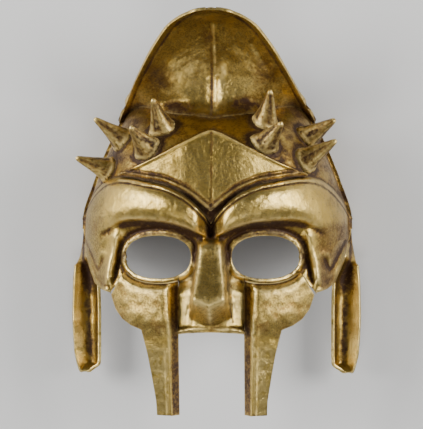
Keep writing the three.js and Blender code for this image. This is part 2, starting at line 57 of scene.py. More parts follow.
# How far a sheet's raw edge may lie from its outline to be pulled onto it, in millimetres.
TRIM_REACH = 0.9
# The sharpest fold that keeps its edge unbevelled, in degrees.
BEVEL_ANGLE = 55.0
# How many times a surface is smoothed to find its grooves, its edges and its large hollows.
GROOVE_PASSES, EDGE_PASSES, FORM_PASSES = 4, 14, 40
# Axis, direction, where the pressing in starts and the outermost place allowed, in millimetres.
OUTER_LIMITS = (
    (0, 1, 84.0, 92.98),
    (0, -1, 84.0, 92.98),
    (1, 1, 112.0, 122.98),
    (1, -1, 122.0, 127.48),
    (2, 1, 98.0, 103.98),
)


class Side(Enum):
    """The viewer's left or right."""

    LEFT = -1
    RIGHT = 1

    @property
    def word(self) -> str:
        """The side's name in lower case."""
        return self.name.lower()


# Small sums.


def mix(a: Array, b: Array, t: Array) -> Array:
    """The value between a and b at t."""
    return a + (b - a) * t


def ramp(value: Array, low: float, high: float) -> Array:
    """A soft step from 0 at low to 1 at high."""
    t = np.clip((value - low) / (high - low), 0.0, 1.0)
    return t * t * (3.0 - 2.0 * t)


def fade(value: Array, low: float, high: float) -> Array:
    """A soft step from 1 at low to 0 at high."""
    return 1.0 - ramp(value, low, high)


def bump(value: Array, middle: Array | float, width: Array | float) -> Array:
    """A soft hill of height 1 round middle.

    Args:
        value: where to measure.
        middle: the place of the hill's top.
        width: its half-width.

    Returns:
        The hill's height, 1 at its top.
    """
    return np.exp(-(((value - middle) / width) ** 2))


def curve(rows: Rows, column: int) -> Callable[[Array], Array]:
    """A smooth line through a table's rows that never overshoots them.

    Args:
        rows: the table, with the place along the line in its first column.
        column: which column holds the values.

    Returns:
        A function of the place along the line.
    """
    at = np.array([row[0] for row in rows], float)
    value = np.array([row[column] for row in rows], float)
    slope = np.diff(value) / np.diff(at)
    before = np.concatenate([slope[:1], slope])
    after = np.concatenate([slope, slope[-1:]])
    total = np.where(before * after > 0, before + after, 1.0)
    tangent = np.where(before * after > 0, 2 * before * after / total, 0.0)

    def line(place: Array) -> Array:
        """The value at a place along the line.

        Args:
            place: the places.

        Returns:
            The values there.
        """
        s = np.clip(np.asarray(place, float), at[0], at[-1])
        i = np.clip(np.searchsorted(at, s, side="right") - 1, 0, len(at) - 2)
        span = at[i + 1] - at[i]
        t = (s - at[i]) / span
        rise = value[i + 1] - value[i]
        bend = t * (1 - t) * (tangent[i] * span * (1 - t) - tangent[i + 1] * span * t)
        return value[i] + rise * t * t * (3 - 2 * t) + bend

    return line


def spread(u: Array) -> Array:
    """Places from -1 to 1 that lie closer together by both ends."""
    return np.sin(u * 1.35) / math.sin(1.35)


def distance_to_line(x: Array, y: Array, points: Rows) -> Array:
    """How far places lie from a line of straight stretches.

    Args:
        x: the places' x.
        y: the places' y.
        points: the line's corners.

    Returns:
        The distance of each place.
    """
    best = np.full(np.shape(x), 1e9)
    for (ax, ay), (bx, by) in zip(points[:-1], points[1:]):
        dx, dy = bx - ax, by - ay
        t = np.clip(((x - ax) * dx + (y - ay) * dy) / (dx * dx + dy * dy), 0.0, 1.0)
        best = np.minimum(best, np.hypot(x - ax - t * dx, y - ay - t * dy))
    return best


def outside_distance(x: Array, y: Array, ring: Rows) -> Array:
    """How far places lie outside a closed outline.

    Args:
        x: the places' x.
        y: the places' y.
        ring: the outline's corners.

    Returns:
        The distance, negative inside.
    """
    inside = np.zeros(np.shape(x), bool)
    closed = [*ring, ring[0]]
    for (ax, ay), (bx, by) in zip(closed[:-1], closed[1:]):
        crosses = (ay > y) != (by > y)
        safe = by - ay if by != ay else 1e-9
        inside ^= crosses & (x < (bx - ax) * (y - ay) / safe + ax)
    return np.where(inside, -1.0, 1.0) * distance_to_line(x, y, closed)


def ripple(x: Array, y: Array, size: float, seed: float) -> Array:
    """Gentle unevenness of hand work, as a few crossed waves.

    Args:
        x: the places' x.
        y: the places' y.
        size: the length of the waves.
        seed: shifts the pattern.

    Returns:
        A height between about -1 and 1.
    """
    total = np.zeros(np.shape(x))
    for i in range(7):
        angle = seed + i * 2.399
        turn = (x * math.cos(angle) + y * math.sin(angle)) / size * (1.0 + 0.23 * i)
        total += np.sin(turn * math.tau + seed * 3.1 + i * 1.7) * np.cos(turn * 2.3 - i)
    return total / 3.0


@dataclass
class HeadForm:
    """The forms that all plates share, in millimetres. y is the place up the face, x is across it."""

    flange: float = 2.5
    wall: float = 2.6
    squareness: float = 2.4
    seam: float = 0.3
    eye: tuple[float, float] = (33.2, -29.8)
    eye_half: tuple[float, float] = (20.8, 13.2)
    eye_squareness: float = 2.3
    bar_inner: float = 20.1
    # The swelling beside the eye: its upper and its lower end, half-width and height.
    column_top: tuple[float, float] = (60.5, -18.0)
    column_end: tuple[float, float] = (67.0, -50.0)
    column_half: float = 4.0
    column_rise: float = 4.5
    # The lip band: its place, height and half-length.
    lip_y: float = -72.8
    lip_rise: float = 4.2
    lip_half: float = 18.0
    # The recess beside the nose: where it starts and how deep it is at the bar, and the eye sockets' depth.
    panel_start: float = 10.0
    panel_drop: float = 3.0
    socket_drop: float = 5.0
    # The crest's keel and lip, and how far up its fold reaches.
    keel_rise: float = 2.6
    crest_lip: float = 3.0
    fold_reach: float = 7.0
    # How far a cheek and its bar stand out, and how deep the bar's inner bevel falls.
    cheek_rise: float = 3.0
    bar_rise: float = 2.0
    bar_bevel: float = 8.0
    # The bar's ridge: where it starts, and how far out it stands at its two ends.
    ridge_start: float = -46.0
    ridge_ends: tuple[float, float] = (26.0, 24.3)
    top: float = 123.0
    bottom: float = -127.5
    # y, half-width, height.
    head: Rows = (
        (-128, 66, 72), (-100, 74, 77), (-77, 80, 80), (-55, 85, 79), (-30, 88, 78), (-5, 87.3, 80),
        (15, 81.3, 79), (34, 74, 74), (44, 69.5, 66), (51, 66, 57), (57, 63, 48), (68, 57.5, 36),
    )
    # y, half-width, height of the middle line, height of the rim.
    crest: Rows = (
        (53, 65.2, 51, 3), (57, 63.2, 46, 10), (62, 60.2, 41, 20), (69, 55.8, 37, 31), (78.6, 50.1, 36, 42),
        (88, 44.4, 39, 50), (97.5, 38.4, 45, 57), (106.9, 31.4, 54, 64), (112, 27, 60, 68),
        (116.4, 21.8, 66.5, 71.5), (120, 15, 72.5, 75), (122, 9, 76, 77), (123, 3, 77.5, 77.5),
    )
    # x, y.
    fold: Rows = ((0, 57), (14, 59), (28, 60.5), (40, 64), (48, 65.5), (54, 64), (59, 60), (63.5, 56))
    brow_top: Rows = (
        (0, -9.3), (3, -4.5), (9, 2.5), (15, 7.7), (21, 11.3), (30, 15), (40, 17.1), (49, 18.9), (58, 19.8),
        (66, 18.5), (74, 13.5), (81, 5.5), (87, -4.5),
    )
    # x, lower edge, swell.
    brow: Rows = (
        (0, -19, 0), (4, -17.6, 1), (9, -15.2, 8), (16, -12, 10), (30, -8.6, 11), (46, -7.8, 11),
        (55, -8.7, 10.5), (64, -12.4, 9), (76, -17.8, 6.5), (87, -22, 2),
    )
    plate_foot: Rows = (
        (0, -1.8), (3, 0.6), (9, 5.6), (15, 9.8), (21, 12.8), (30, 16.2), (40, 18), (49, 19.5), (59, 20.2),
    )
    plate_top: Rows = ((0, 47.9), (5, 46.4), (18.3, 39.8), (30.5, 33.3), (45.8, 26.3), (59, 21.4))
    # How fast the plate leans back from its foot, per millimetre squared.
    plate_lean: float = 0.0019
    # y, half-width of the flat front, half-width of the foot, height.
    nose: Rows = (
        (-72, 10.6, 14.6, 83), (-68.5, 10.5, 13.9, 87), (-62, 10.3, 12.9, 97), (-56, 10, 12.2, 104),
        (-45, 9, 11.3, 97.5), (-33, 7.8, 10, 91), (-21, 6.5, 8.3, 86), (-18.5, 6.2, 7.4, 76),
    )
    temple_edge: Rows = ((64, -52.2), (71, -50.2), (76, -46.8), (82.2, -33), (86.9, -13))
    temple_crease: Rows = ((83, -20.5), (78.5, -28.5), (74.6, -36.4), (73, -38), (71.4, -36), (69.6, -31.5))
    cheek_edge: Rows = (
        (63.2, -53.4), (60.2, -62), (55.7, -68), (50, -71.8), (43.2, -74.4), (39.4, -89.2), (37, -102.5),
        (34.4, -118.5), (34, -127.5),
    )
    # y, inner edge, outer edge, depth.
    guard: Rows = (
        (-104.8, 83.6, 86.6, 0.6), (-102, 80.2, 88.4, 0.85), (-98.6, 76, 89.9, 1), (-91, 75.8, 91.8, 1),
        (-68, 75.8, 93, 1), (-47, 76.4, 92.5, 1), (-33, 82.4, 90.6, 0.6), (-22, 85.2, 88.6, 0.2),
        (-13, 87.4, 88.2, 0),
    )

    def __post_init__(self) -> None:
        """Turns the tables into curves."""
        self.head_half, self.head_depth = curve(self.head, 1), curve(self.head, 2)
        self.crest_half, self.crest_spine, self.crest_rim = (curve(self.crest, i) for i in (1, 2, 3))
        self.fold_y, self.brow_top_y = curve(self.fold, 1), curve(self.brow_top, 1)
        self.brow_low_y, self.brow_swell = curve(self.brow, 1), curve(self.brow, 2)
        self.plate_foot_y, self.plate_top_y = curve(self.plate_foot, 1), curve(self.plate_top, 1)
        self.nose_front, self.nose_foot, self.nose_height = (curve(self.nose, i) for i in (1, 2, 3))
        self.guard_inner, self.guard_outer, self.guard_depth = (curve(self.guard, i) for i in (1, 2, 3))

    def head_height(self, x: Array, y: Array) -> Array:
        """Height of the plain head form."""
        reach = np.minimum(1.0, np.abs(x) / (self.head_half(y) - self.flange))
        return self.head_depth(y) * np.sqrt(1.0 - reach**self.squareness)

    def skull_height(self, x: Array, y: Array) -> Array:
        """Height of the skull with its rear flange."""
        return np.maximum(self.head_height(x, y), self.wall)

    def crest_edge(self, x: Array, y: Array) -> Array:
        """Distance inwards from the crest's outline."""
        slope = self.crest_half(y + 0.5) - self.crest_half(y - 0.5)
        return (self.crest_half(y) - np.abs(x)) / np.hypot(1.0, slope)

    def crest_height(self, x: Array, y: Array) -> Array:
        """Height of the crest, with its keel, its lip and the fold where it leaves the skull.

        Args:
            x: the places' x.
            y: the places' y.

        Returns:
            The heights, z.
        """

        def plain(px: Array, py: Array) -> Array:
            """The crest without the fold.

            Args:
                px: the places' x.
                py: the places' y.

            Returns:
                The heights, z.
            """
            reach = np.minimum(1.0, np.abs(px) / self.crest_half(py))
            keel = self.keel_rise * bump(px, 0.0, 3.2) * fade(py, 98.0, 118.0)
            lip = self.crest_lip * fade(self.crest_edge(px, py), 0.0, 4.0)
            return mix(self.crest_spine(py), self.crest_rim(py), reach**2) + keel + lip

        fold = self.fold_y(np.abs(x))
        step = self.skull_height(x, fold) - plain(x, fold)
        return plain(x, y) + step * np.exp(-np.maximum(0.0, y - fold) / self.fold_reach)

    def eye_reach(self, x: Array, y: Array) -> Array:
        """How far out a place lies from an eye's middle: 1 on the opening's edge.

        Args:
            x: the places' x.
            y: the places' y.

        Returns:
            The shares.
        """
        across = (np.abs(np.abs(x) - self.eye[0]) / self.eye_half[0]) ** self.eye_squareness
        up = (np.abs(y - self.eye[1]) / self.eye_half[1]) ** self.eye_squareness
        return (across + up) ** (1.0 / self.eye_squareness)

    def eye_distance(self, x: Array, y: Array) -> Array:
        """Distance outwards from the edge of the nearer eye opening.

        Args:
            x: the places' x.
            y: the places' y.

        Returns:
            The distances, negative inside the opening.
        """
        step = 0.05
        reach = self.eye_reach(x, y)
        slope_x = self.eye_reach(x + step, y) - self.eye_reach(x - step, y)
        slope_y = self.eye_reach(x, y + step) - self.eye_reach(x, y - step)
        return (reach - 1.0) * 2 * step / np.maximum(np.hypot(slope_x, slope_y), 1e-4)

    def brow_place(self, x: Array, y: Array) -> Array:
        """Place up the rounded brow: 0 on its lower edge, 1 on its upper one."""
        low = self.brow_low_y(np.abs(x))
        return (y - low) / (self.brow_top_y(np.abs(x)) - low)

    def column_share(self, y: Array) -> Array:
        """How far down the swelling beside the eye a place lies: 0 at its top, 1 at its end."""
        return np.clip((y - self.column_top[1]) / (self.column_end[1] - self.column_top[1]), 0.0, 1.0)

    def column_x(self, y: Array) -> Array:
        """How far out the swelling beside the eye stands."""
        return mix(self.column_top[0], self.column_end[0], self.column_share(y))

    def column_y(self, y: Array) -> Array:
        """The nearest place along the swelling beside the eye."""
        return mix(self.column_top[1], self.column_end[1], self.column_share(y))

    def visor_height(self, x: Array, y: Array) -> Array:
        """Height of the visor's large forms: brows, sockets, nose, side panels and lip.

        Args:
            x: the places' x.
            y: the places' y.

        Returns:
            The heights, z.
        """
        across = np.abs(x)
        t = self.brow_place(x, y)
        round_brow = np.sqrt(np.maximum(0.0, 1.0 - np.abs(2 * np.clip(t, 0, 1) - 1) ** 2.6))
        melted = ramp(t, -0.75, 0.5) * round_brow ** np.where(t > 0.5, 1.0, 0.0)
        brow = self.brow_swell(across) * mix(round_brow, melted, ramp(across, 63.0, 73.0))
        column = np.hypot(across - self.column_x(y), y - self.column_y(y))
        low = self.brow_low_y(across)
        under = fade(y - low, -2.0, 2.0)
        socket = self.socket_drop * fade(self.eye_reach(x, y), 1.2, 1.85) * under
        middle = across < self.bar_inner + 1.0
        outwards = np.clip((across - self.panel_start) / (self.bar_inner - self.panel_start), 0.0, 1.1)
        panel = self.panel_drop * outwards * fade(y, -45.0, -41.0) * middle
        swelling = self.column_rise * np.exp(-((column / self.column_half) ** 2))
        face = self.skull_height(x, y) + brow + swelling - socket - panel
        along = across / self.lip_half
        lip_width = mix(2.6, 1.4, np.minimum(1.0, along))
        lip = self.lip_rise * bump(y, self.lip_y - 1.9 * along**2, lip_width) * middle
        side = (across - self.nose_front(y)) / (self.nose_foot(y) - self.nose_front(y))
        chevron = (1.8 - 3.8 * np.minimum(1.0, across / 9.5)) * ramp(-y, 48.0, 56.0)
        point = -3.0 * np.minimum(1.3, across / 12.0) * ramp(-y, 57.0, 62.0)
        front = self.nose_height(y + chevron + point) - 0.9 * np.minimum(1.5, across / 9.0) ** 2
        nose = np.where(y < self.nose[-1][0], (front - face) * np.clip(1.0 - side, 0.0, 1.0), 0.0)
        nose = nose - 1.3 * bump(x, 0.0, 2.6) * bump(y, -69.5, 3.6)
        return face + np.maximum(lip, nose)

    def ridge_x(self, y: Array) -> Array:
        """How far out the ridge of a hanging bar stands."""
        down = np.clip((y - self.ridge_start) / (self.bottom - self.ridge_start), 0.0, 1.0)
        return mix(*self.ridge_ends, down)

    def cheek_height(self, x: Array, y: Array) -> Array:
        """Height of a cheek and of the bar below it.

        Args:
            x: the places' x.
            y: the places' y.

        Returns:
            The heights, z.
        """
        across, ridge = np.abs(x), self.ridge_x(y)
        bevel = self.bar_bevel * np.clip((ridge - across) / (ridge - self.bar_inner), 0.0, 1.0)
        return self.head_height(x, y) + self.cheek_rise * ramp(y, -82.0, -64.0) + self.bar_rise - bevel

    def plate_height(self, x: Array, y: Array) -> Array:
        """Height of the brow plate, which stands on the skull below and parts from it above.

        Args:
            x: the places' x.
            y: the places' y.

        Returns:
            The heights, z.
        """
        foot = self.plate_foot_y(np.abs(x))
        gap = self.seam + self.wall
        return np.maximum(
            outset(self.skull_height, gap)(x, foot) - self.plate_lean * (y - foot) ** 2,
            outset(self.skull_height, gap)(x, y),
        )

    def eye_ring(
        self, offset: float, start: float = 0.0, end: float = 360.0, count: int = 72
    ) -> list[tuple[float, float]]:
        """Places round the right eye, at a distance outside its opening.

        Args:
            offset: the distance outside the opening.
            start: the first angle, in degrees.
            end: the last angle, in degrees.
            count: how many places.

        Returns:
            The places, in order.
        """
        places = []
        for i in range(count):
            turn = math.radians(start + (end - start) * i / (count - 1))
            c, s = math.cos(turn), math.sin(turn)
            power = 2 / self.eye_squareness
            places.append((
                self.eye[0] + (self.eye_half[0] + offset) * math.copysign(abs(c) ** power, c),
                self.eye[1] + (self.eye_half[1] + offset) * math.copysign(abs(s) ** power, s),
            ))
        return places

    def cheek_seam(self, gap: float) -> list[tuple[float, float]]:
        """The seam between the visor and a cheek, from the lip up past the nose and round under the eye.

        Args:
            gap: how far the seam's line lies from the visor's edge, in millimetres.

        Returns:
            The seam's corners.
        """
        ring = self.eye_ring(3.2 + gap, -124.0, -30.0, 30)
        start = self.bar_inner + gap
        return [(start, -78.0), (start, ring[0][1] - 1.0), *[p for p in ring if p[0] > start + 0.2]]


def outset(surface: Surface, distance: float) -> Surface:
    """The surface that lies an even distance outside another one.

    Args:
        surface: the surface to grow.
        distance: how far, in millimetres.

    Returns:
        The grown surface.
    """

    def grown(x: Array, y: Array) -> Array:
        """Height of the grown surface.

        Args:
            x: the places' x.
            y: the places' y.

        Returns:
            The heights, z.
        """
        high = surface(x, y) + distance
        for r in (0.55, 0.9):
            for i in range(8):
                turn = i * math.pi / 4
                dx, dy = r * distance * math.cos(turn), r * distance * math.sin(turn)
                high = np.maximum(high, surface(x + dx, y + dy) + distance * math.sqrt(1 - r * r))
        return high

    return grown


# Tools of the bench.


def select_only(obj: bpy.types.Object) -> None:
    """Makes one object the only selected and the active one.

    Args:
        obj: the object.
    """
    if bpy.context.mode != "OBJECT":
        bpy.ops.object.mode_set(mode="OBJECT")
    bpy.ops.object.select_all(action="DESELECT")
    obj.select_set(True)
    bpy.context.view_layer.objects.active = obj


def numbers_of(items: bpy.types.bpy_prop_collection, name: str, width: int, kind: type = float) -> Array:
    """One property of all of a mesh's items.

    Args:
        items: the mesh's vertices, edges, loops or faces.
        name: the property.
        width: how many numbers it has.
        kind: whether they are whole numbers or not.

    Returns:
        A row of numbers for each item.
    """
    flat = np.empty(len(items) * width, kind)
    items.foreach_get(name, flat)
    return flat.reshape(-1, width)


def points_of(obj: bpy.types.Object) -> Array:
    """The object's vertices, in millimetres."""
    return numbers_of(obj.data.vertices, "co", 3) / MM


def normals_of(obj: bpy.types.Object) -> Array:
    """The direction that each vertex faces."""
    return numbers_of(obj.data.vertex_normals, "vector", 3)


def set_points(obj: bpy.types.Object, points: Array) -> None:
    """Moves the object's vertices to places in millimetres."""
    obj.data.vertices.foreach_set("co", (points * MM).ravel())
    obj.data.update()


def apply_modifier(obj: bpy.types.Object, kind: str, **settings: object) -> None:
    """Adds a modifier with the given settings and applies it.

    Args:
        obj: the object it works on.
        kind: the modifier's type.
        settings: its properties.
    """
    select_only(obj)
    bpy.ops.object.modifier_add(type=kind)
    modifier = obj.modifiers[-1]
    for key, value in settings.items():
        setattr(modifier, key, value)
    bpy.ops.object.modifier_apply(modifier=modifier.name)


def store(obj: bpy.types.Object, name: str, values: Array) -> None:
    """Keeps one number for each vertex, for the materials to read."""
    layer = obj.data.attributes.new(name, "FLOAT", "POINT")
    layer.data.foreach_set("value", np.clip(values, 0.0, 1.0).astype(np.float32))


def neighbours(obj: bpy.types.Object) -> tuple[Array, Array]:
    """The two ends of each edge, as vertex numbers."""
    a, b = numbers_of(obj.data.edges, "vertices", 2, int).T
    return a, b


def smoothed(values: Array, a: Array, b: Array, passes: int, free: Array | None = None) -> Array:
    """Values evened out along a mesh's edges.

    Args:
        values: one number for each vertex.
        a: the first end of each edge.
        b: the second end of each edge.
        passes: how many times they are evened out.
        free: which vertices may change, or all of them.

    Returns:
        The new values.
    """
    size = len(values)
    count = np.maximum(np.bincount(a, minlength=size) + np.bincount(b, minlength=size), 1)
    out = values.copy()
    for _ in range(passes):
        mean = (np.bincount(a, out[b], size) + np.bincount(b, out[a], size)) / count
        out = mix(out, mean, 0.6 if free is None else 0.6 * free)
    return out


def curvature(obj: bpy.types.Object, passes: int) -> Array:
    """How far each place lies below the smoothed surface round it, in millimetres.

    Args:
        obj: the object to measure.
        passes: how many times the surface is smoothed.

    Returns:
        A number for each vertex: above 0 in a hollow, below 0 on a ridge.
    """
    points = points_of(obj)
    a, b = neighbours(obj)
    smooth = np.stack([smoothed(points[:, k], a, b, passes) for k in range(3)], 1)
    return np.einsum("ij,ij->i", smooth - points, normals_of(obj))


@dataclass
class Plate:
    """One plate of the mask: a fine sheet laid over a form, trimmed to its outline and given its wall."""

    name: str
    columns: int
    rows: int
    place: Callable[[Array, Array], tuple[Array, Array]]
    height: Surface
    grime_and_shade: Surface
    outline: Rows | None = None
    holes: tuple[Rows, ...] = ()
    detail: Surface | None = None
    # The dull film, which also carries painted shade, and the painted highlights laid over the rubbed edges.
    tarnish_and_shade: Surface | None = None
    painted_highlights: Surface | None = None
    thickness: float = 2.3
    edge: float = 0.55
    softness: int = 3
    hollow_share: float = 1.0

    def distance(self, x: Array, y: Array) -> Array:
        """Distance outside the plate's material, negative on it.

        Args:
            x: the places' x.
            y: the places' y.

        Returns:
            The distances.
        """
        far = np.full(np.shape(x), -1e9)
        if self.outline is not None:
            far = outside_distance(x, y, self.outline)
        for hole in self.holes:
            far = np.maximum(far, -outside_distance(x, y, hole))
        return far

    def trim(self, obj: bpy.types.Object) -> None:
        """Deletes the faces outside the outline and pulls the new edge onto it.

        Args:
            obj: the flat sheet.
        """
        centres = numbers_of(obj.data.polygons, "center", 3) / MM
        outside = self.distance(centres[:, 0], centres[:, 1]) > 0
        select_only(obj)
        bpy.ops.object.mode_set(mode="EDIT")
        bpy.ops.mesh.select_mode(type="FACE")
        bpy.ops.mesh.select_all(action="DESELECT")
        bpy.ops.object.mode_set(mode="OBJECT")
        obj.data.polygons.foreach_set("select", outside)
        bpy.ops.object.mode_set(mode="EDIT")
        bpy.ops.mesh.delete(type="FACE")
        bpy.ops.object.mode_set(mode="OBJECT")
        points = points_of(obj)
        near = np.abs(self.distance(points[:, 0], points[:, 1])) < TRIM_REACH
        pick = self.rim(obj) & near
        x, y = points[pick, 0], points[pick, 1]
        for _ in range(3):
            d, step = self.distance(x, y), 0.02
            gx = (self.distance(x + step, y) - self.distance(x - step, y)) / (2 * step)
            gy = (self.distance(x, y + step) - self.distance(x, y - step)) / (2 * step)
            size = np.maximum(gx * gx + gy * gy, 0.25)
            x, y = x - d * gx / size, y - d * gy / size
        points[pick, 0], points[pick, 1] = x, y
        set_points(obj, points)

    @staticmethod
    def rim(obj: bpy.types.Object) -> Array:
        """Which vertices lie on an open edge.

        Args:
            obj: the object.

        Returns:
            True for each vertex on an open edge.
        """
        ends = numbers_of(obj.data.edges, "vertices", 2, int)
        loops = numbers_of(obj.data.loops, "edge_index", 1, int).ravel()
        uses = np.bincount(loops, minlength=len(obj.data.edges))
        flags = np.zeros(len(obj.data.vertices), bool)
        flags[ends[uses == 1].ravel()] = True
        return flags

    @staticmethod
    def fitted(points: Array) -> Array:
        """Presses what the wall's thickness pushed beyond the mask's outer size gently back inside it.

        Args:
            points: the places, in millimetres.

        Returns:
            The places inside the outer size.
        """
        for axis, sign, start, limit in OUTER_LIMITS:
            reach = sign * points[:, axis]
            share = (limit - start) / (max(limit, reach.max()) - start)
            points[:, axis] = sign * np.where(reach > start, start + (reach - start) * share, reach)
        points[:, 2] = np.maximum(points[:, 2], 0.0)
        return points

    def paint(self, obj: bpy.types.Object, points: Array) -> None:
        """Keeps the brown patina with painted shade, the rubbed edges with painted highlights and the dull
        film with painted shade of each place, and whether it lies inside.

        Args:
            obj: the plate.
            points: its places, in millimetres.
        """
        hollow, ridge, wide = (curvature(obj, n) for n in (GROOVE_PASSES, EDGE_PASSES, FORM_PASSES))
        grime_and_shade = self.grime_and_shade(points[:, 0], points[:, 1])
        # Patina and painted shade in the hollows, found from the surface's curvature.
        hollow_patina_and_shade = np.maximum(hollow / 0.3 - 0.3, wide / 2.2 - 0.4)
        store(obj, "grime_and_shade", np.maximum(grime_and_shade, self.hollow_share * hollow_patina_and_shade))
        # Rubbed edges, brightened as painted highlights too, joined below by the plate's own painted
        # highlights.
        rubbed = -ridge / 0.4 - 0.1
        if self.painted_highlights is not None:
            rubbed = np.maximum(rubbed, self.painted_highlights(points[:, 0], points[:, 1]))
        store(obj, "wear_and_highlight", rubbed * (1.0 - 0.9 * np.clip(grime_and_shade, 0.0, 1.0)))
        film_and_shade = 0.35 if self.tarnish_and_shade is None else self.tarnish_and_shade(points[:, 0], points[:, 1])
        store(obj, "tarnish_and_shade", film_and_shade + np.zeros(len(points)))
        store(obj, "inner", ramp(-normals_of(obj)[:, 2], 0.02, 0.25))

    def build(self, side: Side = Side.RIGHT) -> bpy.types.Object:
        """Makes the plate.

        Args:
            side: the left plate is the mirror image of the right one.

        Returns:
            The finished object.
        """
        bpy.ops.object.select_all(action="DESELECT")
        bpy.ops.mesh.primitive_grid_add(x_subdivisions=self.columns, y_subdivisions=self.rows, size=2.0)
        obj = bpy.context.object
        obj.name = obj.data.name = self.name
        flat = numbers_of(obj.data.vertices, "co", 3)
        x, y = self.place(flat[:, 0], flat[:, 1] * 0.5 + 0.5)
        set_points(obj, np.stack([x, y, np.zeros_like(x)], 1))
        if self.outline is not None or self.holes:
            self.trim(obj)
        points = points_of(obj)
        inside = ~self.rim(obj)
        raised = self.height(points[:, 0], points[:, 1])
        points[:, 2] = smoothed(raised, *neighbours(obj), self.softness, inside)
        if self.detail is not None:
            points[:, 2] += self.detail(points[:, 0], points[:, 1])
        set_points(obj, points)
        apply_modifier(obj, "SOLIDIFY", thickness=self.thickness * MM, offset=-1.0, use_rim=True)
        if self.edge:
            apply_modifier(
                obj,
                "BEVEL",
                width=self.edge * MM,
                segments=2,
                limit_method="ANGLE",
                angle_limit=math.radians(BEVEL_ANGLE),
            )
        points = self.fitted(points_of(obj))
        self.paint(obj, points)
        if side is Side.LEFT:
            points[:, 0] *= -1.0
            obj.data.flip_normals()
        points[:, 1] -= MIDDLE_Y
        set_points(obj, points)
        select_only(obj)
        bpy.ops.object.shade_smooth()
        return obj


# Finishes.


class NodeBench:
    """Adds and links nodes in one tree, in few words."""

    def __init__(self, tree: bpy.types.NodeTree) -> None:
        """Starts on a tree."""
        self.tree = tree

    def add(
        self, kind: str, inputs: dict[str | int, object] | None = None, **settings: object
    ) -> bpy.types.Node:
        """Adds a node.

        Args:
            kind: the node's type name.
            inputs: values or sockets for its inputs.
            settings: its properties.

        Returns:
            The node.
        """
        node = self.tree.nodes.new(kind)
        for key, value in settings.items():
            setattr(node, key, value)
        for key, value in (inputs or {}).items():
            if isinstance(value, bpy.types.NodeSocket):
                self.tree.links.new(value, node.inputs[key])
            else:
                node.inputs[key].default_value = value
        return node

    def math(self, operation: str, a: object, b: object = 0.0, clamp: bool = False) -> bpy.types.NodeSocket:
        """A sum of two values.

        Args:
            operation: what is done with them.
            a: the first value or socket.
            b: the second value or socket.
            clamp: whether the result is kept between 0 and 1.

        Returns:
            The result's socket.
        """
        return self.add("ShaderNodeMath", {0: a, 1: b}, operation=operation, use_clamp=clamp).outputs[0]

    def vector(self, operation: str, a: object, b: object) -> bpy.types.NodeSocket:
        """A sum of two directions or places."""
        return self.add("ShaderNodeVectorMath", {0: a, 1: b}, operation=operation).outputs[0]

    def span(
        self, value: object, low: float, high: float, to_low: float = 0.0, to_high: float = 1.0
    ) -> bpy.types.NodeSocket:
        """A value carried from one range to another, softly.

        Args:
            value: the socket to read.
            low: where the first range starts.
            high: where it ends.
            to_low: where the second range starts.
            to_high: where it ends.

        Returns:
            The result's socket.
        """
        node = self.add(
            "ShaderNodeMapRange",
            {"Value": value, "From Min": low, "From Max": high, "To Min": to_low, "To Max": to_high},
            interpolation_type="SMOOTHSTEP",
        )
        return node.outputs["Result"]

    def blend(self, factor: object, a: object, b: object) -> bpy.types.NodeSocket:
        """A colour between two others.

        Args:
            factor: the share of the second colour.
            a: the first colour.
            b: the second colour.

        Returns:
            The result's socket.
        """
        node = self.add("ShaderNodeMix", data_type="RGBA")
        for index, value in ((0, factor), (6, a), (7, b)):
            if isinstance(value, bpy.types.NodeSocket):
                self.tree.links.new(value, node.inputs[index])
            else:
                node.inputs[index].default_value = value
        return node.outputs[2]

    def noise(
        self, coordinate: object, scale: float, detail: float = 4.0, rough: float = 0.55, warp: float = 0.0
    ) -> bpy.types.NodeSocket:
        """A noise pattern.

        Args:
            coordinate: the place socket.
            scale: how fine the pattern is.
            detail: how many finer layers it has.
            rough: how strong those layers are.
            warp: how much the pattern is distorted.

        Returns:
            The pattern's value socket.
        """
        node = self.add(
            "ShaderNodeTexNoise",
            {"Vector": coordinate, "Scale": scale, "Detail": detail, "Roughness": rough, "Distortion": warp},
        )
        return node.outputs["Fac"]

    def attribute(self, name: str) -> bpy.types.NodeSocket:
        """A number kept on the mesh."""
        return self.add("ShaderNodeAttribute", attribute_name=name).outputs["Fac"]


def new_group(name: str, *masks: str) -> tuple[bpy.types.NodeTree, NodeBench, bpy.types.Node]:
    """Starts a shader node group that puts out masks.

    Args:
        name: the group's name.
        masks: the name of each output.

    Returns:
        The group, a bench to work on it and its output node.
    """
    group = bpy.data.node_groups.new(name, "ShaderNodeTree")
    for label in masks:
        group.interface.new_socket(label, in_out="OUTPUT", socket_type="NodeSocketFloat")
    bench = NodeBench(group)
    return group, bench, bench.add("NodeGroupOutput")


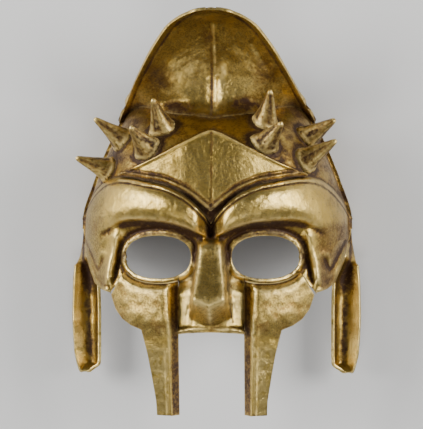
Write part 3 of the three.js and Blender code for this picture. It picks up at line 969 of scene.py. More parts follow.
def leaf_sheets() -> bpy.types.NodeTree:
    """The leaves of gold: squares laid over each other, crumpled and rubbed.

    Returns:
        The node group.
    """
    group, bench, out = new_group("Leaf sheets", "Tint", "Seam", "Mottle", "Height")
    leaves_a_metre = 36.0
    place = bench.add("ShaderNodeTexCoord").outputs["Object"]
    wander = bench.add("ShaderNodeTexNoise", {"Vector": place, "Scale": 26.0, "Detail": 3.0}).outputs["Color"]
    bent = bench.vector("MULTIPLY", wander, (0.02, 0.02, 0.02))
    moved = bench.vector("ADD", place, bent)
    pattern = {"Vector": moved, "Scale": leaves_a_metre}
    cells = bench.add("ShaderNodeTexVoronoi", pattern, distance="CHEBYCHEV")
    edges = bench.add("ShaderNodeTexVoronoi", pattern, feature="DISTANCE_TO_EDGE")
    tint = bench.add("ShaderNodeSeparateColor", {0: cells.outputs["Color"]}).outputs[0]
    broken = bench.span(bench.noise(place, 240.0), 0.5, 0.64)
    seam = bench.math("MULTIPLY", bench.span(edges.outputs["Distance"], 0.03, 0.0), broken, True)
    stretched = bench.add(
        "ShaderNodeMapping", {"Vector": moved, "Scale": (1.0, 0.45, 1.0), "Rotation": (0.3, 0.2, 0.7)}
    )
    creases = bench.noise(stretched.outputs[0], 640.0, 6.0, 0.66, 1.1)
    dents = bench.noise(place, 150.0, 3.0, 0.5)
    mottle = bench.noise(place, 430.0, 7.0, 0.72, 0.3)
    height = bench.math("ADD", bench.math("MULTIPLY", creases, 0.6), bench.math("MULTIPLY", dents, 1.0))
    height = bench.math("ADD", height, bench.math("MULTIPLY", mottle, 0.35))
    for name, value in (("Tint", tint), ("Seam", seam), ("Mottle", mottle), ("Height", height)):
        group.links.new(value, out.inputs[name])
    return group


def patina_and_painted_light() -> bpy.types.NodeTree:
    """Brown glaze that stays in hollows, turns amber where it is thin and is rubbed off the edges; the glaze
    also carries painted shade and painted warm reflections, the dull film painted dark reflections, and the
    rubbed edges painted highlights.

    Returns:
        The node group.
    """
    group, bench, out = new_group("Patina and painted light", "Amber", "Dark", "Film", "Bright")
    place = bench.add("ShaderNodeTexCoord").outputs["Object"]
    grime_and_shade, wear_and_highlight = bench.attribute("grime_and_shade"), bench.attribute("wear_and_highlight")
    cloud = bench.math("SUBTRACT", bench.noise(place, 130.0, 6.0, 0.65, 0.5), 0.5)
    fine = bench.math("SUBTRACT", bench.noise(place, 620.0, 5.0, 0.65), 0.5)
    uneven = bench.math("ADD", bench.math("MULTIPLY", cloud, 0.9), bench.math("MULTIPLY", fine, 0.75))
    # How brown and shaded each place is, less on rubbed edges and painted highlights.
    depth = bench.math("SUBTRACT", bench.math("ADD", grime_and_shade, uneven), bench.math("MULTIPLY", wear_and_highlight, 0.35))
    amber = bench.span(depth, 0.14, 0.46)
    dark = bench.span(depth, 0.34, 0.7)
    # The dull olive film, which also carries painted shade and painted dark reflections.
    shift = bench.math("MULTIPLY", bench.math("SUBTRACT", bench.attribute("tarnish_and_shade"), 0.5), 0.5)
    patch = bench.span(bench.math("ADD", bench.noise(place, 62.0, 6.0, 0.7, 0.8), shift), 0.4, 0.64)
    speckle = bench.span(bench.noise(place, 820.0, 5.0, 0.7), 0.44, 0.6)
    film_and_shade = bench.math("MULTIPLY", patch, bench.math("ADD", bench.math("MULTIPLY", speckle, 0.6), 0.4), True)
    specks = bench.add("ShaderNodeTexVoronoi", {"Vector": place, "Scale": 360.0, "Randomness": 1.0})
    lot = bench.add("ShaderNodeSeparateColor", {0: specks.outputs["Color"]}).outputs[1]
    chosen = bench.span(lot, 0.95, 0.97)
    pits = bench.math("MULTIPLY", bench.span(specks.outputs["Distance"], 0.26, 0.1), chosen, True)
    flecks = bench.span(bench.noise(place, 520.0, 5.0, 0.7, 0.4), 0.52, 0.68, 1.0, 0.6)
    dark = bench.math("MAXIMUM", bench.math("MULTIPLY", dark, flecks), bench.math("MULTIPLY", pits, 0.8))
    # Rubbed leaf and painted highlights.
    bright = bench.math("MULTIPLY", wear_and_highlight, bench.span(bench.noise(place, 300.0, 4.0), 0.32, 0.52), True)
    for name, value in (("Amber", amber), ("Dark", dark), ("Film", film_and_shade), ("Bright", bright)):
        group.links.new(value, out.inputs[name])
    return group


@dataclass(frozen=True)
class GoldLeaf:
    """Burnished leaf over a painted ground, aged with brown glaze, with a plain brown paper back; its masks
    also carry painted shade, painted reflections and painted highlights.
    """

    name: str
    bright: Colour = (0.66, 0.455, 0.115, 1.0)
    deep: Colour = (0.56, 0.37, 0.08, 1.0)
    # Colour of the dull film, which also stands for painted shade and painted dark reflections.
    olive: Colour = (0.155, 0.118, 0.046, 1.0)
    # Amber of thin glaze, also used for painted warm reflections.
    stain: Colour = (0.22, 0.12, 0.03, 1.0)
    # Dark brown of thick glaze, also used for painted shade.
    glaze: Colour = (0.042, 0.017, 0.006, 1.0)
    # Colour of rubbed edges and of painted highlights.
    edge: Colour = (0.86, 0.65, 0.24, 1.0)
    paper: Colour = (0.10, 0.062, 0.034, 1.0)
    polish: float = 0.21
    relief: float = 0.0006
    relief_share: float = 0.7
    sheen: float = 0.22
    # How much of each mask shows.
    film_share: float = 0.8
    amber_share: float = 0.85
    seam_share: float = 0.35
    highlight_and_wear_share: float = 0.85
    dull_share: float = 0.75
    # What each mask adds to the roughness.
    mottle_rough: float = 0.2
    film_rough: float = 0.14
    dark_rough: float = 0.16
    paper_rough: float = 0.5

    def material(self, sheets: bpy.types.NodeTree, patina: bpy.types.NodeTree) -> bpy.types.Material:
        """Makes the material.

        Args:
            sheets: the group with the leaves.
            patina: the group with the brown glaze.

        Returns:
            The material.
        """
        material = bpy.data.materials.new(self.name)
        material.use_nodes = True
        material.node_tree.nodes.clear()
        bench = NodeBench(material.node_tree)
        leaf = bench.add("ShaderNodeGroup", node_tree=sheets).outputs
        old = bench.add("ShaderNodeGroup", node_tree=patina).outputs
        inner = bench.attribute("inner")
        colour = bench.blend(leaf["Tint"], self.bright, self.deep)
        colour = bench.blend(bench.math("MULTIPLY", old["Film"], self.film_share), colour, self.olive)
        colour = bench.blend(bench.math("MULTIPLY", old["Amber"], self.amber_share), colour, self.stain)
        colour = bench.blend(bench.math("MULTIPLY", leaf["Seam"], self.seam_share), colour, self.stain)
        colour = bench.blend(old["Dark"], colour, self.glaze)
        colour = bench.blend(bench.math("MULTIPLY", old["Bright"], self.highlight_and_wear_share), colour, self.edge)
        colour = bench.blend(inner, colour, self.paper)
        rough = bench.math("ADD", bench.math("MULTIPLY", leaf["Mottle"], self.mottle_rough), self.polish)
        rough = bench.math("ADD", rough, bench.math("MULTIPLY", old["Film"], self.film_rough))
        rough = bench.math("ADD", rough, bench.math("MULTIPLY", old["Dark"], self.dark_rough))
        rough = bench.math("ADD", rough, bench.math("MULTIPLY", inner, self.paper_rough), True)
        dull = bench.math("MAXIMUM", bench.math("MULTIPLY", old["Dark"], self.dull_share), inner)
        relief = bench.add(
            "ShaderNodeBump",
            {"Height": leaf["Height"], "Strength": self.relief_share, "Distance": self.relief},
        )
        shader = bench.add(
            "ShaderNodeBsdfPrincipled",
            {
                "Base Color": colour,
                "Roughness": rough,
                "Metallic": bench.math("SUBTRACT", 1.0, dull, True),
                "Specular IOR Level": self.sheen,
                "Normal": relief.outputs[0],
            },
        )
        bench.add("ShaderNodeOutputMaterial", {"Surface": shader.outputs[0]})
        return material


@dataclass(frozen=True)
class PaleFloor:
    """A plain pale sheet for the mask to lie on."""

    size: float = 6.0
    tone: Colour = (0.82, 0.81, 0.79, 1.0)
    shade: float = 0.97
    cloud_scale: float = 3.0
    roughness: float = 0.9

    def build(self) -> bpy.types.Object:
        """Makes the floor.

        Returns:
            The floor.
        """
        bpy.ops.object.select_all(action="DESELECT")
        bpy.ops.mesh.primitive_plane_add(size=self.size, location=(0.0, 0.0, 0.0))
        floor = bpy.context.object
        floor.name = "floor"
        material = bpy.data.materials.new("Pale floor")
        material.use_nodes = True
        bench = NodeBench(material.node_tree)
        shader = material.node_tree.nodes["Principled BSDF"]
        place = bench.add("ShaderNodeTexCoord").outputs["Object"]
        darker = tuple(self.shade * c for c in self.tone[:3]) + (1.0,)
        tone = bench.blend(bench.noise(place, self.cloud_scale), self.tone, darker)
        material.node_tree.links.new(tone, shader.inputs["Base Color"])
        shader.inputs["Roughness"].default_value = self.roughness
        floor.data.materials.append(material)
        return floor


# The sub-assemblies.


@dataclass
class Shell:
    """The plates of the mask: skull, crest, brow plate and visor."""

    form: HeadForm
    # Length of one step of a sheet, in millimetres.
    pace: float = 0.85
    spikes: tuple[SpikeRow, ...] = ()
    # How far a spike's foot reaches from its axis, and how far down along it.
    spike_radius: float = 9.4
    foot_depth: float = 14.0
    # How far a plate reaches past the line that it shares with the next one.
    lap: float = 0.1
    # Half of the visor sheet's width, and its lower line.
    visor_half: float = 87.4
    visor_low: float = -77.5

    def count(self, length: float) -> int:
        """How many steps a length of sheet takes."""
        return max(4, round(length / self.pace))

    def near_spikes(self, x: Array, y: Array) -> Array:
        """Distance outside the foot of the nearest spike, measured from the spike's axis.

        Args:
            x: the places' x.
            y: the places' y.

        Returns:
            The distance, negative under a spike.
        """
        height = self.form.skull_height
        places = np.stack([x, y, height(x, y)], -1)
        best = np.full(np.shape(x), 99.0)
        for _, foot_x, foot_y, *direction, _ in self.spikes:
            foot = np.array([foot_x, foot_y, float(height(np.array(foot_x), np.array(foot_y)))])
            axis = np.array(direction) / np.linalg.norm(direction)
            reach = places - foot
            along = reach @ axis
            away = np.linalg.norm(reach - along[..., None] * axis, axis=-1) - self.spike_radius
            best = np.minimum(best, np.where(along > -self.foot_depth, away, 99.0))
        return best

    def skull(self) -> Plate:
        """The domed skull, from the brows to the crest.

        Returns:
            The plate.
        """
        form, lap = self.form, self.lap

        def place(u: Array, v: Array) -> tuple[Array, Array]:
            """Rows follow the brows below and the crest's fold above.

            Args:
                u: places across the sheet, -1 to 1.
                v: places up the sheet, 0 to 1.

            Returns:
                The x and y of the places.
            """
            half = np.full(np.shape(v), 85.0)
            for _ in range(24):
                y = mix(form.brow_top_y(half) - lap, form.fold_y(half) + lap, v)
                half = (half + form.head_half(y)) / 2
            x = half * spread(u)
            return x, mix(form.brow_top_y(np.abs(x)) - lap, form.fold_y(np.abs(x)) + lap, v)

        def detail(x: Array, y: Array) -> Array:
            """Uneven hand work, and beads of glue round the spikes."""
            glue = 0.7 * bump(self.near_spikes(x, y), -0.4, 1.3) * (1.0 + 0.5 * ripple(x, y, 4.0, 2.2))
            return 0.3 * ripple(x, y, 31.0, 0.7) + 0.1 * ripple(x, y, 7.0, 1.9) + glue * ramp(y, 20.0, 30.0)

        def grime_and_shade(x: Array, y: Array) -> Array:
            """Painted shade under the brow plate and painted shadow above its free edge, painted shade along
            the fold, brown glue with painted shadow round the spikes, and a painted warm highlight in the
            middle.

            Args:
                x: the places' x.
                y: the places' y.

            Returns:
                How dark each place is, 0 to 1.
            """
            across = np.abs(x)
            low = 0.9 * np.exp(-np.maximum(0, y - form.brow_top_y(across)) / 2.2)
            # Painted shade in the crease of the fold.
            fold = 0.7 * np.exp(-np.maximum(0, form.fold_y(across) - y) / 4.0)
            # Painted shade under the brow plate and painted shadow above its free edge.
            plate = 0.8 * np.exp(-np.maximum(0, y - form.plate_top_y(across)) / 3.2) * (across < 58)
            # Glue and painted shadow round the spikes' feet.
            spikes = 1.15 * np.exp(-np.maximum(0, self.near_spikes(x, y)) / 3.7)
            rim = 0.5 * bump(across, form.head_half(y) - 3.2, 1.8)
            stains = 0.4 - 0.3 * bump(across, 10.0, 16.0) + 0.24 * ripple(x, y, 23.0, 5.1)
            # A painted warm highlight in the middle.
            amber = 0.24 * bump(across, 14.0, 24.0) * ramp(y, 34.0, 50.0)
            return np.maximum.reduce([low, fold, plate, spikes, rim, stains, amber])

        def tarnish_and_shade(x: Array, y: Array) -> Array:
            """Dull, but for the warm leaf in the middle, between the plate and the crest, a painted warm
            highlight.
            """
            warm = 0.75 * bump(np.abs(x), 12.0, 15.0) * ramp(y, 34.0, 42.0)
            return 0.6 + 0.2 * ripple(x, y, 21.0, 1.4) - warm

        return Plate(
            "skull_gilded", self.count(250), self.count(86), place, form.skull_height, grime_and_shade, detail=detail,
            tarnish_and_shade=tarnish_and_shade,
        )

    def crest(self) -> Plate:
        """The fan-shaped crest with its rolled lip.

        Returns:
            The plate.
        """
        form = self.form

        def place(u: Array, v: Array) -> tuple[Array, Array]:
            """Rows run across the crest and end on its lip.

            Args:
                u: places across the sheet, -1 to 1.
                v: places up the sheet, 0 to 1.

            Returns:
                The x and y of the places.
            """
            up = 1.0 - (1.0 - v) ** 1.35
            half = np.full(np.shape(v), 50.0)
            for _ in range(40):
                x = half * spread(u)
                y = mix(form.fold_y(np.abs(x)) - self.lap, form.top, up)
                half = (half + form.crest_half(y)) / 2
            return x, y

        def detail(x: Array, y: Array) -> Array:
            """Two shallow lobes beside the keel, a groove inside the lip and a dent on the right.

            Args:
                x: the places' x.
                y: the places' y.

            Returns:
                How far the relief stands out, in millimetres.
            """
            across, edge = np.abs(x), form.crest_edge(x, y)
            lobes = 1.3 * bump(across, 20.0, 9.0) * bump(y, 82.0, 17.0)
            groove = -0.9 * bump(edge, 2.5, 0.7)
            roll = 0.5 * bump(edge, 1.0, 0.8)
            dent = -1.0 * np.exp(-((distance_to_line(x, y, ((34.0, 88.0), (25.0, 103.0))) / 2.0) ** 2))
            crease = 1.1 * bump(x, 0.9, 1.1) - 0.6 * bump(x, -1.5, 1.2)
            crease = crease * ramp(y, 59.0, 66.0) * fade(y, 111.0, 118.0)
            shoulders = -1.6 * bump(across, 25.0, 11.0) * bump(y, 68.5, 4.0)
            curl = -1.4 * bump(y, 115.5, 2.2) * fade(across, 6.0, 15.0)
            hand = 0.45 * ripple(x, y, 27.0, 2.1) + 0.16 * ripple(x, y, 8.0, 0.3)
            return lobes + groove + roll + dent + crease + shoulders + curl + hand * ramp(edge, 0.5, 5.0)

        def tarnish_and_shade(x: Array, y: Array) -> Array:
            """The scoop is dull and dark, tarnish with painted shade, but for the painted highlights."""
            return 0.8 + 0.22 * ripple(x, y, 19.0, 0.5) - 0.6 * painted_highlights(x, y)

        def painted_highlights(x: Array, y: Array) -> Array:
            """Painted highlights on both sides of the keel, and flecks of painted highlight under the lip.

            Args:
                x: the places' x.
                y: the places' y.

            Returns:
                How strong the painted highlight is at each place, 0 to 1.
            """
            left = bump(x, -17.0, 11.0) * bump(y, 86.5, 9.0)
            right = bump(x, 4.5, 3.6) * ramp(y, 57.0, 63.0) * fade(y, 86.0, 97.0)
            low = bump(x, -6.5, 4.5) * bump(y, 62.0, 3.0)
            top = bump(x, -4.0, 8.0) * bump(y, 117.4, 1.1)
            side = 0.6 * bump(x, 24.0, 7.0) * bump(y, 92.0, 8.0)
            flecks = 0.75 + 0.35 * ripple(x, y, 9.0, 4.4)
            return np.maximum.reduce([0.55 * left, right, low, top, 0.4 * side]) * flecks

        def grime_and_shade(x: Array, y: Array) -> Array:
            """Painted shade in the fold and painted shadow on the shoulders above it; darker along the keel
            and towards the sides; brown in the groove of the lip; a painted warm reflection under the top.

            Args:
                x: the places' x.
                y: the places' y.

            Returns:
                How dark each place is, 0 to 1.
            """
            across, edge = np.abs(x), form.crest_edge(x, y)
            # Painted shade in the crease of the fold.
            fold = 0.8 * np.exp(-np.maximum(0, y - form.fold_y(across)) / 3.0)
            keel = mix(0.75, 0.42, ramp(y, 84.0, 96.0)) * bump(x, -1.5, 1.3) * fade(y, 112.0, 118.0)
            groove = 0.72 * bump(edge, 2.6, 0.8) * (0.75 + 0.4 * ripple(x, y, 17.0, 5.5))
            # Painted shadow on the shoulders above the fold.
            shoulders = bump(x, -24.0, 11.0) * bump(y, 64.5, 5.0)
            shoulders = shoulders + 1.05 * bump(x, 21.0, 12.0) * bump(y, 66.5, 5.2)
            shoulders = shoulders * (0.8 + 0.35 * ripple(x, y, 11.0, 1.1))
            # Darker towards the sides.
            darker_sides = 0.6 * bump(x, -35.0, 9.0) * bump(y, 82.0, 13.0)
            darker_sides = darker_sides + 0.52 * bump(x, 32.0, 9.0) * bump(y, 86.0, 14.0)
            # A painted warm reflection under the forward curl of the top.
            amber = 0.4 * bump(x, -2.0, 6.5) * bump(y, 106.0, 9.0)
            haze = 0.06 + 0.14 * ripple(x, y, 21.0, 3.1)
            return np.maximum.reduce([fold, keel, groove, shoulders, darker_sides, amber, haze])

        return Plate(
            "crest_gilded", self.count(150), self.count(90), place, form.crest_height, grime_and_shade, detail=detail,
            tarnish_and_shade=tarnish_and_shade, painted_highlights=painted_highlights,
        )

    def brow_plate(self) -> Plate:
        """The diamond plate over the forehead, whose upper edge stands free.

        Returns:
            The plate.
        """
        form = self.form

        def place(u: Array, v: Array) -> tuple[Array, Array]:
            """Rows run from the lower edge to the free upper one."""
            x = u * form.plate_top[-1][0]
            return x, mix(form.plate_foot_y(np.abs(x)), form.plate_top_y(np.abs(x)), v)

        def detail(x: Array, y: Array) -> Array:
            """A faint crease down the middle, a lip along the upper edge and a bead along the lower one.

            Args:
                x: the places' x.
                y: the places' y.

            Returns:
                How far the relief stands out, in millimetres.
            """
            up, down = form.plate_top_y(np.abs(x)) - y, y - form.plate_foot_y(np.abs(x))
            crease = -0.35 * bump(x, 0.4, 1.2) * (1.0 - 0.6 * ramp(y, 20.0, 34.0))
            lip = 0.8 * fade(up, 0.3, 1.7) - 0.25 * bump(up, 2.6, 0.9)
            bead = 0.7 * bump(down, 2.0, 1.1) - 0.5 * bump(down, 4.2, 1.0)
            return crease + lip + bead + 0.22 * ripple(x, y, 27.0, 1.3) + 0.04 * ripple(x, y, 7.0, 3.3)

        def grime_and_shade(x: Array, y: Array) -> Array:
            """Brown stays along the lower edge and in faint lines by the lip and the crease.

            Args:
                x: the places' x.
                y: the places' y.

            Returns:
                How brown each place is, 0 to 1.
            """
            across = np.abs(x)
            down = np.maximum(0, y - form.plate_foot_y(across))
            foot = 0.95 * np.exp(-down / 1.3)
            bead = 0.62 * np.exp(-((down - 3.2) / 3.0) ** 2)
            notch = 0.85 * np.exp(-((x / 6.0) ** 2) - (np.maximum(0, y + 2.0) / 9.0) ** 2)
            crease = 0.42 * bump(x, 0.4, 1.2)
            return np.maximum.reduce([foot, bead, notch, crease])

        return Plate(
            "brow_plate_gilded", self.count(120), self.count(52), place, form.plate_height, grime_and_shade,
            detail=detail, tarnish_and_shade=lambda x, y: 0.62 + 0.15 * ripple(x, y, 29.0, 3.9), edge=0.5,
        )

    def visor(self) -> Plate:
        """The visor: brows, eye rims, nose, lip and temples.

        Returns:
            The plate.
        """
        form = self.form

        def place(u: Array, v: Array) -> tuple[Array, Array]:
            """Rows follow the lower and upper edges of the brows.

            Args:
                u: places across the sheet, -1 to 1.
                v: places up the sheet, 0 to 1.

            Returns:
                The x and y of the places.
            """
            x = self.visor_half * spread(u)
            low, high = form.brow_low_y(np.abs(x)), form.brow_top_y(np.abs(x)) + self.lap
            return x, np.where(v < 0.7, mix(self.visor_low, low, v / 0.7), mix(low, high, (v - 0.7) / 0.3))

        half = [
            (0.0, -75.4), (8.0, -75.6), (15.0, -76.2), (form.bar_inner + form.seam / 2, -77.0),
            *form.cheek_seam(form.seam / 2)[1:], *form.temple_edge, (91.0, -12.0), (91.0, 30.0),
        ]
        outline = [*half, *[(-x, y) for x, y in reversed(half) if x > 0]]
        eye = form.eye_ring(0.0)[:-1]
        holes = (eye, [(-x, y) for x, y in eye])

        def detail(x: Array, y: Array) -> Array:
            """Beads, grooves and creases pressed into the large forms.

            Args:
                x: the places' x.
                y: the places' y.

            Returns:
                How far the relief stands out, in millimetres.
            """
            across = np.abs(x)
            d = form.eye_distance(x, y)
            turn = np.arctan2(y - form.eye[1], across - form.eye[0])
            strength = 0.12 + 0.88 * np.maximum(ramp(-np.sin(turn), -0.2, 0.5), ramp(np.cos(turn), 0.55, 0.9))
            rough = 1.0 + 0.3 * ripple(x, y, 5.0, 0.9) * ramp(np.cos(turn), 0.5, 0.9)
            bead = strength * rough * np.sqrt(np.maximum(0.0, 1.9**2 - (d - 1.3) ** 2))
            channel = -1.1 * bump(d, 4.3, 1.1)
            side = -0.7 * bump(across, form.nose_foot(y) + 0.5, 0.9)
            side = side * ramp(-y, 22.0, 28.0) * ramp(y, -66.0, -60.0)
            crease = distance_to_line(across, y, form.temple_crease)
            fold = -2.0 * np.exp(-((crease / 1.6) ** 2)) + 0.9 * bump(crease, 3.8, 1.8) * (y < -20)
            fold = np.where(x > 0, 1.0, 0.55) * fold
            edge = distance_to_line(across, y, form.temple_edge)
            lip = 0.9 * bump(edge, 1.0, 1.3) - 0.5 * bump(edge, 3.4, 1.2)
            lip = lip * (across > 64) * ramp(-y, 31.0, 37.0)
            roll = across - form.column_x(y)
            column = (1.4 * bump(roll, 0.6, 2.2) - 1.8 * bump(roll, -4.6, 1.5)) * bump(y, -36.0, 12.0)
            notch = -4.0 * bump(x, 0.0, 2.4) * ramp(y, -19.5, -16.0)
            rim = 0.7 * bump(form.brow_place(x, y), 0.08, 0.06) * (across > 5) * fade(across, 46.0, 58.0)
            down = form.brow_top_y(across) - y
            cord = bump(down, 1.7, 0.9) - 0.8 * bump(down, 3.6, 0.9)
            cord = cord * (y > -17) * fade(across, 52.0, 66.0)
            hand = 0.3 * ripple(x, y, 26.0, 4.0) + 0.1 * ripple(x, y, 7.0, 6.1)
            return bead + channel + side + fold + lip + column + notch + rim + cord + hand

        def tarnish_and_shade(x: Array, y: Array) -> Array:
            """The nose, the inner brows and the brows' lower halves are dull and dark: tarnish, with a
            painted dark reflection on the nose and painted shade on the brows' lower halves and the temples.

            Args:
                x: the places' x.
                y: the places' y.

            Returns:
                How dull and dark each place is, 0 to 1.
            """
            across = np.abs(x)
            # A painted dark reflection on the nose's front.
            nose = 1.2 * ramp(-y, 20.0, 26.0) * fade(across, 8.0, 10.5)
            brow = 0.62 * bump(x, 20.0, 9.0) * (y > -18) + 0.62 * bump(x, -17.0, 9.0) * (y > -18)
            # Painted shade on the lower halves of the brows.
            low = 0.55 * bump(form.brow_place(x, y), 0.25, 0.2) * fade(across, 60.0, 72.0)
            # Painted shade on the temples, most on the right.
            temple = ramp(x, 60.0, 68.0) * fade(y, -14.0, -4.0) + 0.85 * ramp(-x, 62.0, 72.0)
            lip = 0.85 * ramp(-y, 69.5, 72.0)
            return np.maximum.reduce([nose, brow, low, temple, lip, 0.28 + 0.14 * ripple(x, y, 29.0, 2.7)])

        def grime_and_shade(x: Array, y: Array) -> Array:
            """Brown and painted shade round the eyes, beside the nose and in every crease; painted shade
            under the brows, under the nose and under the temple flaps, stronger on the right.

            Args:
                x: the places' x.
                y: the places' y.

            Returns:
                How dark each place is, 0 to 1.
            """
            across = np.abs(x)
            d = form.eye_distance(x, y)
            turn = np.arctan2(y - form.eye[1], across - form.eye[0])
            upper = ramp(np.sin(turn), -0.1, 0.7)
            # Darker and wider along the upper edge, under the brow: painted shade.
            channel = mix(0.62, 0.9, upper) * bump(d, 4.4, mix(1.4, 2.6, upper))
            eye_line = np.maximum(channel, 0.7 * upper * bump(d, 1.5, 2.0))
            corner = 0.8 * np.exp(-(((across - 56.0) / 3.6) ** 2) - (((y + 28.0) / 12.0) ** 2))
            nasal = 0.95 * bump(across, 10.8, 2.2) * bump(y, -28.0, 10.0)
            nasal = nasal + 0.5 * bump(x, 15.5, 2.6) * bump(y, -38.0, 4.0)
            # A painted shadow beside the nose, stronger on the right.
            line_width = mix(1.2, 0.5, np.clip((y + 30.0) / -38.0, 0.0, 1.0))
            flank = np.where(x > 0, 0.85, 0.5) * bump(across, form.nose_foot(y) - 0.5, line_width)
            flank = flank * ramp(-y, 24.0, 30.0) * (y > -70)
            # Painted shade under the brows' lower edge.
            brow_low = 0.9 * bump(y, form.brow_low_y(across) - 1.6, 2.2)
            brow_low = brow_low * (across > 5) * fade(across, 55.0, 64.0)
            down = form.brow_top_y(across) - y
            cord = np.maximum(0.95 * bump(down, 0.0, 0.9), 0.8 * bump(down, 3.7, 1.1))
            brow_high = np.maximum(cord, 0.5 * np.exp(-np.maximum(0, down) / 3.5)) * (y > -19)
            notch = 1.1 * bump(x, 0.0, 3.4) * ramp(y, -20.5, -17.5)
            # Painted shade in the temple crease, stronger on the right.
            line = distance_to_line(across, y, form.temple_crease)
            crease = np.where(x > 0, 0.95, 0.55) * np.exp(-((line / 1.4) ** 2))
            gutter = 0.9 * bump(across, form.bar_inner + 0.3, 0.6) * fade(y, -42.0, -38.0)
            beside = 0.85 * bump(across - form.column_x(y), -4.8, 1.8) * bump(y, -38.0, 13.0)
            # Painted shadow under the nose.
            under_nose = 0.35 * bump(y, -70.3, 0.9) * fade(across, 4.0, 7.0) + 0.3 * ramp(-y, 70.5, 72.5)
            edge = distance_to_line(across, y, form.temple_edge)
            # Painted shade under the temple flap's edge.
            flap = 0.4 * bump(edge, 3.2, 1.3) * (across > 64) * ramp(-y, 31.0, 37.0)
            # Painted shade where the brow overhangs the swelling beside the eye.
            shade = 0.6 * bump(across, 66.0, 6.0) * bump(y - form.brow_low_y(across), -1.0, 3.0)
            rim = 0.6 * ramp(across, form.head_half(y) - 3.0, form.head_half(y) - 2.0) * (y > -20)
            # Random clouds, with painted shade on the temples, most on the right.
            cloud = 0.1 + 0.14 * ripple(x, y, 37.0, 1.1) + 0.36 * ramp(x, 62.0, 70.0) * fade(y, -14.0, -4.0)
            cloud = cloud + 0.12 * ramp(-x, 64.0, 72.0)
            return np.maximum.reduce([
                eye_line, corner, nasal, flank, brow_low, brow_high, notch, crease, gutter, beside,
                under_nose, flap, shade, rim, cloud,
            ])

        def painted_highlights(x: Array, y: Array) -> Array:
            """Painted highlights: the panels beside the nose, its rims and lower end, the facets below it and
            the brows.

            Args:
                x: the places' x.
                y: the places' y.

            Returns:
                How strong the painted highlight is at each place, 0 to 1.
            """
            across = np.abs(x)
            foot = form.nose_foot(y)
            panel = ramp(across, foot - 1.0, foot + 0.4) * (across < form.bar_inner + 0.2)
            panel = panel * ramp(-y, 31.0, 36.0) * fade(-y, 67.0, 71.0)
            rims = 0.8 * bump(across, form.nose_front(y) + 0.3, 0.8)
            rims = rims * ramp(-y, 20.0, 24.0) * fade(-y, 50.0, 54.0)
            end = bump(y, -56.6 + 0.42 * across, 1.4) * fade(across, 9.0, 10.5)
            facets = bump(across, 12.0, 4.0) * bump(y, -68.4, 2.0)
            facets = np.maximum(facets, 0.8 * bump(y, -20.6, 0.9) * fade(across, 5.0, 7.0))
            brows = 0.7 * bump(form.brow_place(x, y), 0.6, 0.22) * bump(across, 38.0, 17.0)
            flecks = 0.85 + 0.25 * ripple(x, y, 8.0, 1.7)
            return np.maximum.reduce([panel, rims, end, facets, brows]) * flecks

        return Plate(
            "visor_gilded", self.count(272), self.count(98), place, form.visor_height, grime_and_shade, outline, holes,
            detail=detail, tarnish_and_shade=tarnish_and_shade, painted_highlights=painted_highlights, edge=0.45, hollow_share=0.6,
        )


